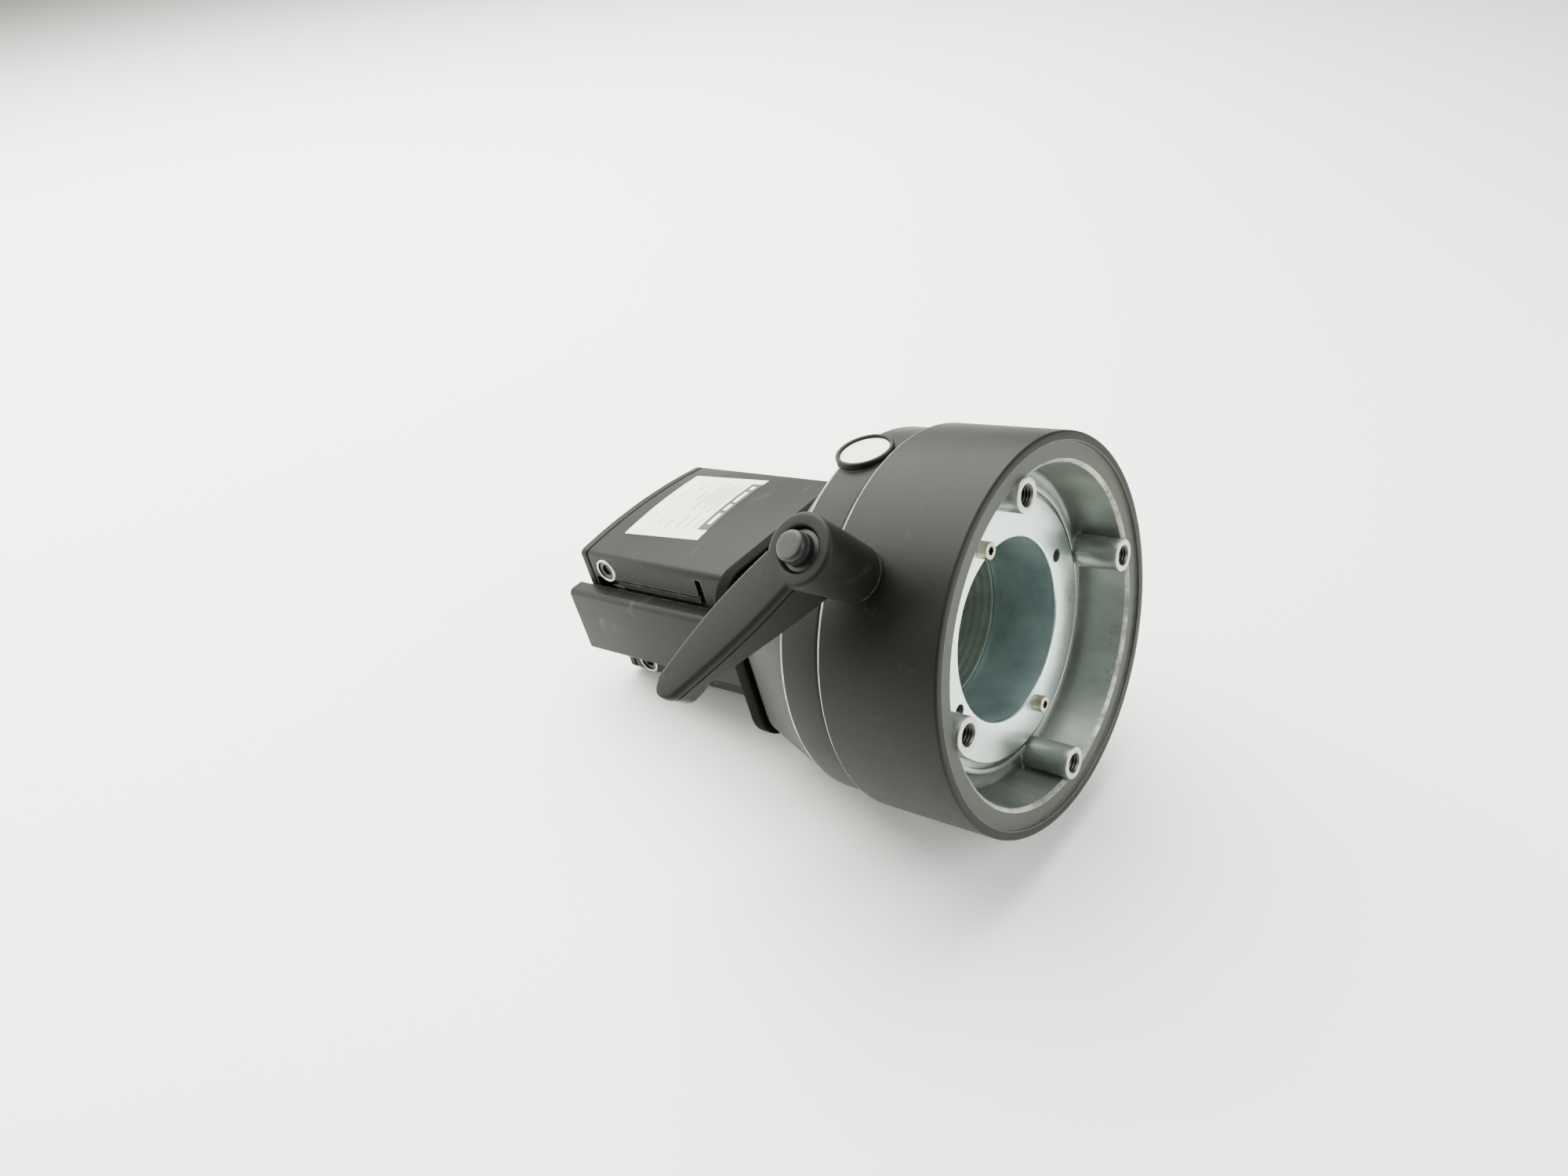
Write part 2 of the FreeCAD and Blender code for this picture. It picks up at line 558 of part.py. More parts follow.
def make_plug_and_stop():
    plug = cylinder("plug_disc", "plug_radius", "plug_top_reach - plug_seat_reach",
                    PLUG, "plug_seat_reach")
    stem = cylinder("plug_stem", "stop_bore_radius - 0.1", "plug_stem_length", PLUG,
                    "plug_stem_reach")
    node("plug_cap", fuse("plug", plug, stem))
    screw = cylinder("stop_thread", "stop_bore_radius - 0.05", "stop_thread_length", PLUG,
                     "stop_thread_reach")
    tip = cylinder("stop_tip", "stop_tip_radius", "stop_tip_length", PLUG,
                   "stop_screw_tip_reach")
    socket = doc.addObject("Part::Prism", "stop_socket")
    socket.Polygon = 6
    bind(socket, Circumradius="small_socket / 2 / cos(30) + 0.4",
         Height="stop_socket_depth + 1")
    floor = (SIZES["stop_thread_reach"] + SIZES["stop_thread_length"]
             - SIZES["stop_socket_depth"])
    socket.Placement = PLUG.multiply(FreeCAD.Placement(FreeCAD.Vector(0, 0, floor),
                                                       FreeCAD.Rotation()))
    node("stop_screw", cut("stop", fuse("stop_blank", screw, tip), socket))


def make_gasket():
    body = new_body("neck_gasket")
    outline = new_sketch(body, "YZ_Plane", "gasket_rear_at")
    rounded_rectangle(outline, "gasket_half_width", "gasket_half_height", "gasket_corner")
    extrude(body, outline, "neck_rear_at - gasket_rear_at")
    holes = new_sketch(body, "YZ_Plane", "neck_rear_at")
    circle(holes, "0", "0", "gasket_hole_radius")
    for side in ("", "-"):
        for height in ("", "-"):
            circle(holes, side + "joint_screw_y", height + "joint_screw_z",
                   "joint_clearance_radius")
    extrude(body, holes, "neck_rear_at - gasket_rear_at", "Pocket")
    soften(body, lambda e: runs_round(e, SIZES["gasket_rear_at"]), "gasket_edge")


def runs_round(edge, at):
    """True for an outer edge of the gasket or frame that lies in one plane of X."""
    box = edge.BoundBox
    flat = abs(box.XMin - at) < 0.01 and abs(box.XMax - at) < 0.01
    middle = edge.valueAt((edge.FirstParameter + edge.LastParameter) / 2)
    return flat and (abs(middle.y) > 44 or abs(middle.z) > 36)


def crowned_outline(sketch):
    """The housing's section: a shallow arc on top and below, and sides set in low down."""
    first = sketch.GeometryCount
    vector = FreeCAD.Vector
    wide, narrow, high, step = 40.0, 35.0, 31.0, -17.0
    corners = [vector(narrow, -high, 0), vector(narrow, step, 0), vector(wide, step, 0),
               vector(wide, high, 0), vector(-wide, high, 0), vector(-wide, step, 0),
               vector(-narrow, step, 0), vector(-narrow, -high, 0)]
    places = [("lower_half_width", "housing_low_edge"), ("lower_half_width", "step_height"),
              ("housing_half_width", "step_height"), ("housing_half_width", "housing_top_edge"),
              ("-housing_half_width", "housing_top_edge"),
              ("-housing_half_width", "step_height"), ("-lower_half_width", "step_height"),
              ("-lower_half_width", "housing_low_edge")]
    middles = {3: vector(0, high + 3, 0), 7: vector(0, -high - 2, 0)}
    count = len(corners)
    for i in range(count):
        after = corners[(i + 1) % count]
        if i in middles:
            sketch.addGeometry(Part.Arc(corners[i], middles[i], after), False)
        else:
            sketch.addGeometry(Part.LineSegment(corners[i], after), False)
    # an arc's stored direction decides which of its points is called the first
    starts = {i: point_called(sketch, first + i, corners[i]) for i in range(count)}
    for i in range(count):
        after = (i + 1) % count
        sketch.addConstraint(Sketcher.Constraint(
            "Coincident", first + i, 3 - starts[i], first + after, starts[after]))
    for i, (across, up) in enumerate(places):
        pin(sketch, "DistanceX", first + i, starts[i], across)
        pin(sketch, "DistanceY", first + i, starts[i], up)
    for i in middles:
        size = sketch.addConstraint(Sketcher.Constraint("Radius", first + i, 250.0))
        sketch.setExpression("Constraints[%d]" % size, bound(CROWN_RADIUS))


def point_called(sketch, geometry, place):
    """The name, 1 or 2, of the end of a geometry that lies at a place."""
    return 1 if sketch.getPoint(geometry, 1).distanceToPoint(place) < 0.1 else 2


CROWN_RADIUS = "(housing_half_width ^ 2 + crown ^ 2) / (2 * crown)"


def cut_sides(body, left, low, right, high, depth):
    """Cut the same recess in both side faces."""
    for side in (1, -1):
        offset = "%s(housing_half_width - %s)" % ("-" if side > 0 else "", depth)
        sketch = new_sketch(body, "XZ_Plane", offset)
        rectangle(sketch, left, low, right, high)
        extrude(body, sketch, "past_side", "Pocket", backwards=side > 0)


def make_housing():
    body = new_body("tube_housing")
    outline = new_sketch(body, "YZ_Plane", "housing_rear_at")
    crowned_outline(outline)
    extrude(body, outline, "gasket_rear_at - housing_rear_at")
    soften(body, lambda e: runs_along(e, "x", 50) and abs(e.valueAt(0).z) > 25, "housing_edge")
    tube = new_sketch(body, "YZ_Plane", "tube_stop_at")
    rectangle(tube, "-tube_half_width", "-tube_half_height", "tube_half_width",
              "tube_half_height")
    extrude(body, tube, "tube_stop_at - housing_rear_at + 1", "Pocket")
    holes = new_sketch(body, "YZ_Plane", "gasket_rear_at")
    circle(holes, "0", "0", "cable_bore_radius")
    for side in ("", "-"):
        for height in ("", "-"):
            circle(holes, side + "joint_screw_y", height + "joint_screw_z",
                   "joint_clearance_radius")
    extrude(body, holes, "gasket_rear_at - tube_stop_at + 1", "Pocket")
    cut_sides(body, "side_slot_at - side_slot_width / 2", "side_slot_low",
              "side_slot_at + side_slot_width / 2", "side_slot_high", "side_slot_depth")
    cut_sides(body, "screw_pocket_rear_at", "cover_top", "screw_pocket_front_at",
              "screw_pocket_high", "screw_pocket_depth")
    cut_sides(body, "screw_pocket_front_at - 1", "cover_top", "gasket_rear_at + 1",
              "low_groove_high", "low_groove_depth")
    cut_sides(body, "screw_pocket_front_at - 1", "high_groove_low", "gasket_rear_at + 1",
              "screw_pocket_high", "high_groove_depth")
    for side in (1, -1):
        for height in (1, -1):
            frame = side_frame(side, height)
            for radius, depth in (("clamp_head_radius + 0.3", "clamp_head_depth"),
                                  ("clamp_shank_radius", "clamp_shank_length + 3")):
                hole = body.newObject("PartDesign::SubtractiveCylinder", "clamp_hole")
                bind(hole, Radius=radius, Height=depth + " + 2")
                hole.Placement = frame.multiply(FreeCAD.Placement(
                    FreeCAD.Vector(0, 0, -length_of(depth)), FreeCAD.Rotation()))


def length_of(text):
    """The sum that a short expression of aliases and numbers stands for."""
    return sum(reach(term.strip()) for term in text.split("+"))


def side_frame(side, height):
    """A frame on a side face at one clamp screw, its z axis pointing outwards."""
    level = "upper" if height > 0 else "lower"
    across = SIZES["housing_half_width" if height > 0 else "lower_half_width"]
    where = FreeCAD.Vector(SIZES["clamp_screw_at"], side * across,
                           SIZES[level + "_screw_height"])
    return FreeCAD.Placement(where, FreeCAD.Rotation(FreeCAD.Vector(1, 0, 0), -90 * side))


def make_clamp_screws():
    screws = []
    for side in (1, -1):
        for height in (1, -1):
            sunk = FreeCAD.Placement(FreeCAD.Vector(0, 0, -SIZES["clamp_head_depth"]),
                                     FreeCAD.Rotation())
            screws.append(cap_screw("clamp_screw", side_frame(side, height).multiply(sunk),
                                    "clamp_head_radius", "clamp_head_depth",
                                    "clamp_shank_radius", "clamp_shank_length",
                                    "clamp_socket"))
    group("tube_clamp_screws", screws)


def make_end_frame():
    body = new_body("end_frame")
    outline = new_sketch(body, "YZ_Plane", "frame_rear_at")
    crowned_outline(outline)
    extrude(body, outline, "frame_front_at - frame_rear_at")
    soften(body, lambda e: runs_along(e, "x", 3) and abs(e.valueAt(0).z) > 25, "housing_edge")
    opening = new_sketch(body, "YZ_Plane", "frame_front_at")
    rectangle(opening, "-tube_half_width + frame_opening_play",
              "-tube_half_height + frame_opening_play",
              "tube_half_width - frame_opening_play", "tube_half_height - frame_opening_play")
    extrude(body, opening, "frame_front_at - frame_rear_at", "Pocket")


def make_side_cover(label, side):
    """A proud cover over the middle of one side, with rounded outer edges."""
    body = new_body(label)
    sketch = new_sketch(body, "YZ_Plane", "cover_rear_at")
    sign = "" if side > 0 else "-"
    face = "%shousing_half_width" % sign
    proud = "%s(housing_half_width + cover_thickness)" % sign
    rectangle(sketch, face, "cover_bottom", proud, "cover_top")
    extrude(body, sketch, "cover_front_at - cover_rear_at")
    outermost = SIZES["housing_half_width"] + SIZES["cover_thickness"]

    def outer_edge(edge, height):
        return (runs_along(edge, "x", 50) and abs(abs(edge.valueAt(0).y) - outermost) < 0.01
                and abs(edge.valueAt(0).z - SIZES[height]) < 0.01)

    soften(body, lambda e: outer_edge(e, "cover_top"), "cover_top_round")
    soften(body, lambda e: outer_edge(e, "cover_bottom"), "cover_low_round")


def make_joint_fasteners():
    screws = []
    washers = []
    face = SIZES["tube_stop_at"]
    thickness = SIZES["joint_washer_thickness"]
    for side in (1, -1):
        for height in (1, -1):
            y = side * SIZES["joint_screw_y"]
            z = height * SIZES["joint_screw_z"]
            frame = along_x(face - thickness, y, z, forward=False)
            name = "joint_screw_%d" % (len(screws) + 1)
            screws.append(cap_screw(name, frame, "joint_head_radius", "joint_head_height",
                                    "joint_shank_radius", "joint_screw_length",
                                    "clamp_socket"))
            disc = cylinder("washer_disc", "joint_washer_radius", "joint_washer_thickness",
                            along_x(face, y, z, forward=False))
            hole = cylinder("washer_hole", "joint_clearance_radius",
                            "joint_washer_thickness + 2", along_x(face + 1, y, z, False))
            washers.append(cut("joint_washer", disc, hole))
    group("joint_screws", screws)
    group("joint_washers", washers)


def make_label():
    """A thin plate bent to the crown of the housing's top."""
    outer = doc.addObject("Part::Cylinder", "label_outer")
    inner = doc.addObject("Part::Cylinder", "label_inner")
    bind(outer, Radius=CROWN_RADIUS + " + label_thickness", Height="2 * label_length")
    bind(inner, Radius=CROWN_RADIUS, Height="2 * label_length")
    crown_radius = (SIZES["housing_half_width"] ** 2 + SIZES["crown"] ** 2) / (2 * SIZES["crown"])
    centre = SIZES["housing_top_edge"] + SIZES["crown"] - crown_radius
    for shape in (outer, inner):
        shape.Placement = along_x(SIZES["label_at"] - SIZES["label_length"], 0, centre)
    patch = doc.addObject("Part::Box", "label_patch")
    bind(patch, Length="label_length", Width="label_width", Height="past_side")
    middle = FreeCAD.Placement(
        FreeCAD.Vector(SIZES["label_at"], SIZES["label_centre"], 25),
        FreeCAD.Rotation(FreeCAD.Vector(0, 0, 1), SIZES["label_turn"]))
    corner = FreeCAD.Vector(-SIZES["label_length"] / 2, -SIZES["label_width"] / 2, 0)
    patch.Placement = middle.multiply(FreeCAD.Placement(corner, FreeCAD.Rotation()))
    plate = doc.addObject("Part::Common", "label")
    plate.Base = cut("label_skin", outer, inner)
    plate.Tool = patch
    node("label_plate", plate)


# ---------------------------------------------------------------- clamping lever
def make_stud():
    """The threaded stud with its collar and the toothed head that the handle fits."""
    body = new_body("lever_stud")
    revolve(body, [
        ("0", "stud_tip_reach"), ("stud_radius - 1", "stud_tip_reach"),
        ("stud_radius", "stud_tip_reach + 1"), ("stud_radius", "stud_collar_reach"),
        ("stud_collar_radius", "stud_collar_reach"),
        ("stud_collar_radius", "stud_head_reach"), ("stud_head_radius", "stud_head_reach"),
        ("stud_head_radius", "stud_top_reach"), ("retainer_radius", "stud_top_reach"),
        ("retainer_radius", "stud_top_reach - retainer_length"),
        ("0", "stud_top_reach - retainer_length")], axis="V_Axis")
    tooth = new_sketch(body, "XY_Plane", "stud_top_reach")
    circle(tooth, "stud_head_radius + 0.1", "0", "tooth_depth")
    groove = extrude(body, tooth, "stud_top_reach - stud_head_reach - 2", "Pocket")
    pattern = body.newObject("PartDesign::PolarPattern", "stud_teeth")
    pattern.Originals = [groove]
    z_axis = [f for f in body.Origin.OriginFeatures if f.Role == "Z_Axis"][0]
    pattern.Axis = (z_axis, [""])
    pattern.Angle = 360
    pattern.Occurrences = int(SIZES["stud_teeth"])
    body.Tip = pattern
    body.Placement = LEVER


def make_handle():
    """The cast handle: a conical hub and a deep arm, hollow underneath."""
    body = new_body("lever_handle")
    revolve(body, [
        ("hub_socket_radius", "hub_low_reach"), ("hub_low_radius", "hub_low_reach"),
        ("hub_face_radius", "hub_face_reach"), ("button_bore_radius", "hub_face_reach"),
        ("button_bore_radius", "hub_ledge_reach"), ("hub_socket_radius", "hub_ledge_reach")],
        axis="V_Axis")
    outline = new_sketch(body, "XY_Plane", "arm_root_reach - 4")
    polygon(outline, [("button_bore_radius + 1", "-arm_half_width"),
                      ("arm_tip_centre", "-arm_tip_half_width"),
                      ("arm_tip_centre", "arm_tip_half_width"),
                      ("button_bore_radius + 1", "arm_half_width")])
    extrude(body, outline, "hub_face_reach - arm_root_reach + 4")
    tip = new_sketch(body, "XY_Plane", "arm_tip_reach - 1.6")
    circle(tip, "arm_tip_centre", "0", "arm_tip_half_width")
    extrude(body, tip, "hub_face_reach - arm_tip_reach + 1.6")

    # the arm's underside rises from the hub and dips again at the tip
    under = new_sketch(body, "XZ_Plane")
    polygon(under, [("hub_low_radius + 2", "arm_root_reach - 6"),
                    ("hub_low_radius + 2", "arm_root_reach"),
                    ("arm_mid_along", "arm_mid_reach"),
                    ("arm_tip_centre - 6", "arm_tip_reach + 1.4"),
                    ("arm_tip_centre + 12", "arm_tip_reach"),
                    ("arm_tip_centre + 12", "arm_root_reach - 6")])
    extrude(body, under, "past_side", "Pocket", both=True)
    hollow = new_sketch(body, "XY_Plane", "arm_root_reach - 5")
    polygon(hollow, [("hub_face_radius + 2", "-(arm_half_width - arm_wall)"),
                     ("arm_tip_centre", "-(arm_tip_half_width - arm_wall)"),
                     ("arm_tip_centre", "arm_tip_half_width - arm_wall"),
                     ("hub_face_radius + 2", "arm_half_width - arm_wall")])
    extrude(body, hollow, "hub_face_reach - arm_root_reach + 1.5", "Pocket", backwards=True)
    body.Placement = LEVER


def make_button():
    body = new_body("push_button")
    revolve(body, [
        ("button_bore", "button_low_reach"), ("button_radius", "button_low_reach"),
        ("button_radius", "button_shoulder_reach"),
        ("button_face_radius + 0.9", "button_face_reach - 1.4"),
        ("button_face_radius - 0.5", "button_face_reach - 0.25"),
        ("0", "button_face_reach"), ("0", "button_roof_reach"),
        ("button_bore", "button_roof_reach")], axis="V_Axis")
    body.Placement = LEVER


def make_retainer():
    frame = LEVER.multiply(FreeCAD.Placement(
        FreeCAD.Vector(0, 0, SIZES["stud_top_reach"] + SIZES["retainer_washer_thickness"]),
        FreeCAD.Rotation()))
    node("retainer_screw", cap_screw("retainer", frame, "retainer_head_radius",
                                     "retainer_head_height", "retainer_radius",
                                     "retainer_length", "small_socket"))
    disc = cylinder("retainer_disc", "retainer_washer_radius", "retainer_washer_thickness",
                    LEVER, "stud_top_reach")
    hole = cylinder("retainer_hole", "retainer_radius + 0.1", "past_side", LEVER,
                    "outside_reach")
    node("retainer_washer", cut("retainer_ring", disc, hole))


def make_spring():
    """The button's return spring, of eight-sided wire, stands on the retaining washer."""
    helix = doc.addObject("Part::Helix", "spring_line")
    bind(helix, Radius="spring_radius", Pitch="spring_pitch",
         Height="spring_pitch * spring_turns")
    wire = doc.addObject("Part::RegularPolygon", "spring_wire")
    wire.Polygon = 8
    wire.setExpression("Circumradius", bound("spring_wire_radius"))
    wire.Placement = FreeCAD.Placement(FreeCAD.Vector(SIZES["spring_radius"], 0, 0),
                                       FreeCAD.Rotation(FreeCAD.Vector(1, 0, 0), 90))
    coil = doc.addObject("Part::Sweep", "spring_coil")
    coil.Sections = [wire]
    coil.Spine = (helix, ["Edge1"])
    coil.Solid = True
    coil.Frenet = True
    base = SIZES["stud_top_reach"] + SIZES["retainer_washer_thickness"] + SIZES["spring_gap"]
    coil.Placement = LEVER.multiply(FreeCAD.Placement(FreeCAD.Vector(0, 0, base),
                                                      FreeCAD.Rotation()))
    node("button_spring", coil)


make_drum()
make_clamp_bush()
make_brake_shoe()
make_neck()
ring_node("front_bearing", "spigot_radius", "bearing_radius",
          "front_bearing_at + bearing_length", "bearing_length")
ring_node("rear_bearing", "spigot_radius", "bearing_radius",
          "rear_bearing_at + bearing_length", "bearing_length")
ring_node("friction_ring", "friction_ring_inner", "friction_ring_outer", "spigot_end_at",
          "friction_ring_thickness")
ring_node("thrust_ring", "thrust_ring_inner", "thrust_ring_outer", "thrust_ring_at",
          "thrust_ring_thickness")
make_seal()
make_sleeve()
make_sleeve_screws()
make_plug_and_stop()
make_gasket()
make_housing()
make_end_frame()
make_side_cover("side_cover_left", -1)
make_side_cover("side_cover_right", 1)
make_clamp_screws()
make_joint_fasteners()
make_label()
make_stud()
make_handle()
make_button()
make_retainer()
make_spring()

doc.recompute()
for thing in doc.Objects:
    if "Invalid" in thing.State or "Error" in thing.State:
        raise RuntimeError("%s failed: %s" % (thing.Name, thing.State))
os.makedirs("parts", exist_ok=True)
for label, thing in NODES.items():
    shape = thing.Shape
    if shape.isNull() or not shape.isValid():
        raise RuntimeError("no valid shape for " + label)
for label, thing in NODES.items():
    thing.Shape.exportStep("parts/%s.step" % label)
    box = thing.Shape.BoundBox
    print("%-18s solids %d volume %10.1f  x %7.1f %7.1f  y %7.1f %7.1f  z %7.1f %7.1f" % (
        label, len(thing.Shape.Solids), thing.Shape.Volume, box.XMin, box.XMax,
        box.YMin, box.YMax, box.ZMin, box.ZMax))
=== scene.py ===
import math

import bmesh
import bpy
from mathutils import Matrix, Vector


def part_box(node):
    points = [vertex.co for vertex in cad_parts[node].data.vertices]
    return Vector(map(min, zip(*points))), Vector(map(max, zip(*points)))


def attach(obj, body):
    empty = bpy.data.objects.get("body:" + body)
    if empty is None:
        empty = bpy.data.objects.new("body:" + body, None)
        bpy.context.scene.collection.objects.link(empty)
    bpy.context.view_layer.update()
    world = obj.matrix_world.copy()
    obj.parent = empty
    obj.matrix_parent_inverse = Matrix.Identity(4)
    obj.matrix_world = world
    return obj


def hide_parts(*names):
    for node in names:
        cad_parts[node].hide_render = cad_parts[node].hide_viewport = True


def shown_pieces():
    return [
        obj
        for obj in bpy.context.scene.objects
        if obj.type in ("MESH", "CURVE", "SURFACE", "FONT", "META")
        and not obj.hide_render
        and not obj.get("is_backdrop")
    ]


# ------------------------------------------------------------------ camera
# placed in the model's frame, in metres, at the photograph's viewing angle
SENSOR_WIDTH = 36.0
LENS = 27.65
CAMERA_PLACE = Vector((0.20371, -0.31059, 0.25005))
CAMERA_RIGHT = Vector((0.7547, 0.6061, -0.2512)).normalized()
CAMERA_BACK = Vector((0.6406, -0.5980, 0.4818)).normalized()
CAMERA_UP = CAMERA_BACK.cross(CAMERA_RIGHT).normalized()

camera_data = bpy.data.cameras.new("camera")
camera_data.sensor_width = SENSOR_WIDTH
camera_data.lens = LENS
camera_data.clip_start = 0.01
camera_data.clip_end = 20.0
camera = bpy.data.objects.new("camera", camera_data)
bpy.context.scene.collection.objects.link(camera)
turned = Matrix((CAMERA_UP.cross(CAMERA_BACK), CAMERA_UP, CAMERA_BACK)).transposed()
camera.matrix_world = Matrix.Translation(CAMERA_PLACE) @ turned.to_4x4()
bpy.context.scene.camera = camera

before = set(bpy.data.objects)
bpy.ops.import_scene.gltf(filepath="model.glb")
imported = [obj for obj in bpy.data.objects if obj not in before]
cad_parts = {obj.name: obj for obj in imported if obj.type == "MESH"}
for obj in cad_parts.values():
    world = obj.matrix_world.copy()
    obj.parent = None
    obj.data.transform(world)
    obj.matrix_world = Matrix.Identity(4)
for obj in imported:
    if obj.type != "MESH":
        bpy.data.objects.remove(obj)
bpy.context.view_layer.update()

# ------------------------------------------------------------------ driving values
# millimetres and degrees; "reach" is a distance from the swivel axis, "at" a place along X
MM = 0.001
X, Y, Z = 0, 1, 2


def span(node, axis):
    """The lowest and highest place of a CAD node along an axis, in millimetres."""
    low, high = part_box(node)
    return round(low[axis] / MM, 3), round(high[axis] / MM, 3)


AROUND = 288          # facets round a full turn of the large castings
FACET_PHASE = 0.37    # turns the facets a little, so that no edge runs through a boss's middle
BOSS_TURN = 0.11      # radians, keeps a boss's facets off the wall's
DRUM_FACE_AT = span("drum_housing", X)[1]
DRUM_RADIUS = span("drum_housing", Z)[1]
SKIRT_END_AT = span("drum_housing", X)[0]
BOLT_CIRCLE = 59.0
NECK_REAR_AT, NECK_FRONT_AT = span("neck_casting", X)
GASKET_REAR_AT = span("neck_gasket", X)[0]
GASKET_HALF_WIDTH = span("neck_gasket", Y)[1]
GASKET_HALF_HEIGHT = 38.6     # its lip stands a little past the CAD's
CABLE_BORE = 23.0
HOUSING_REAR_AT = span("tube_housing", X)[0]
FRAME_REAR_AT, FRAME_FRONT_AT = span("end_frame", X)
HALF_WIDTH = span("tube_housing", Y)[1]     # of the housing above its step
LOW_HALF_WIDTH = 36.2                       # and below it
STEP_HEIGHT = -16.4
TOP_EDGE, LOW_EDGE, CROWN = 31.6, -34.0, 2.8
CROWN_RADIUS = (HALF_WIDTH ** 2 + CROWN ** 2) / (2 * CROWN)
TUBE_HALF_WIDTH, TUBE_HALF_HEIGHT = 33.6, 20.5
CLAMP_SCREW_AT = -191.6
SIDE_SCREWS = ((23.2, HALF_WIDTH, "upper"), (-28.4, LOW_HALF_WIDTH, "lower"))
CLAMP_HEAD_DEPTH = 2.4
SLEEVE_REAR_AT, FLANGE_AT = span("flanged_sleeve", X)
FLANGE_RADIUS = span("flanged_sleeve", Z)[1]
FLANGE_HOLE_CIRCLE = 40.3
LABEL_AT, LABEL_CENTRE, LABEL_TURN = -171.5, 3.7, 4.4
PLUG_AT, PLUG_ANGLE = -61.9, 93.5
LEVER_AT = -36.0
LEVER_ANGLE = 134.5   # of the lever's radial axis, from +Y towards +Z
ARM_TURN = -127.6     # of the arm about that axis
HUB_FACE, HUB_LEDGE = 109.1, 97.0
ARM_ROOT, ARM_TIP, TIP_CENTRE = 7.3, 6.0, 63.8
ARM_START, ARM_WALL = 9.2, 2.6
TABLE_TILT = 14.8


# ------------------------------------------------------------------ shader helpers
class Shader:
    """A material's node tree, with short calls for the nodes used here."""

    def __init__(self, name):
        self.material = bpy.data.materials.new(name)
        self.material.use_nodes = True
        self.tree = self.material.node_tree
        self.tree.nodes.clear()
        self.bsdf = self.add("ShaderNodeBsdfPrincipled")
        output = self.add("ShaderNodeOutputMaterial")
        self.link(self.bsdf.outputs["BSDF"], output.inputs["Surface"])
        self.coords = self.add("ShaderNodeTexCoord").outputs["Object"]

    def add(self, kind):
        return self.tree.nodes.new(kind)

    def link(self, source, target):
        self.tree.links.new(source, target)

    def put(self, socket, value):
        """Link an output to a socket, or set a plain value."""
        if hasattr(value, "is_output"):
            self.link(value, socket)
        else:
            socket.default_value = value

    def stretched(self, scale):
        mapping = self.add("ShaderNodeMapping")
        mapping.inputs["Scale"].default_value = scale
        self.link(self.coords, mapping.inputs["Vector"])
        return mapping.outputs["Vector"]

    def noise(self, scale, detail=3.0, rough=0.55, vector=None):
        node = self.add("ShaderNodeTexNoise")
        node.inputs["Scale"].default_value = scale
        node.inputs["Detail"].default_value = detail
        node.inputs["Roughness"].default_value = rough
        self.link(vector or self.coords, node.inputs["Vector"])
        return node.outputs["Fac"]

    def ramp(self, value, low, high, start=0.0, end=1.0):
        node = self.add("ShaderNodeMapRange")
        node.inputs["From Min"].default_value = low
        node.inputs["From Max"].default_value = high
        node.inputs["To Min"].default_value = start
        node.inputs["To Max"].default_value = end
        self.link(value, node.inputs["Value"])
        return node.outputs["Result"]

    def math(self, operation, a, b):
        node = self.add("ShaderNodeMath")
        node.operation = operation
        self.put(node.inputs[0], a)
        self.put(node.inputs[1], b)
        return node.outputs[0]

    def mix(self, share, a, b):
        node = self.add("ShaderNodeMix")
        node.data_type = "RGBA"
        self.put(node.inputs["Factor"], share)
        self.put(node.inputs["A"], a)
        self.put(node.inputs["B"], b)
        return node.outputs["Result"]

    def bump(self, height, strength, distance, after=None):
        node = self.add("ShaderNodeBump")
        node.inputs["Strength"].default_value = strength
        node.inputs["Distance"].default_value = distance
        self.link(height, node.inputs["Height"])
        if after is not None:
            self.link(after, node.inputs["Normal"])
        return node.outputs["Normal"]

    def edges(self, radius):
        """A mask that is 1 on edges sharper than the radius, for wear."""
        bevel = self.add("ShaderNodeBevel")
        bevel.samples = 4
        bevel.inputs["Radius"].default_value = radius
        geometry = self.add("ShaderNodeNewGeometry")
        dot = self.add("ShaderNodeVectorMath")
        dot.operation = "DOT_PRODUCT"
        self.link(bevel.outputs["Normal"], dot.inputs[0])
        self.link(geometry.outputs["Normal"], dot.inputs[1])
        return self.ramp(self.math("SUBTRACT", 1.0, dot.outputs["Value"]), 0.02, 0.25)


def rgb(red, green, blue):
    """An sRGB colour given in 0-255 as a linear colour."""
    linear = [c / 255.0 / 12.92 if c <= 10 else ((c / 255.0 + 0.055) / 1.055) ** 2.4
              for c in (red, green, blue)]
    return (*linear, 1.0)


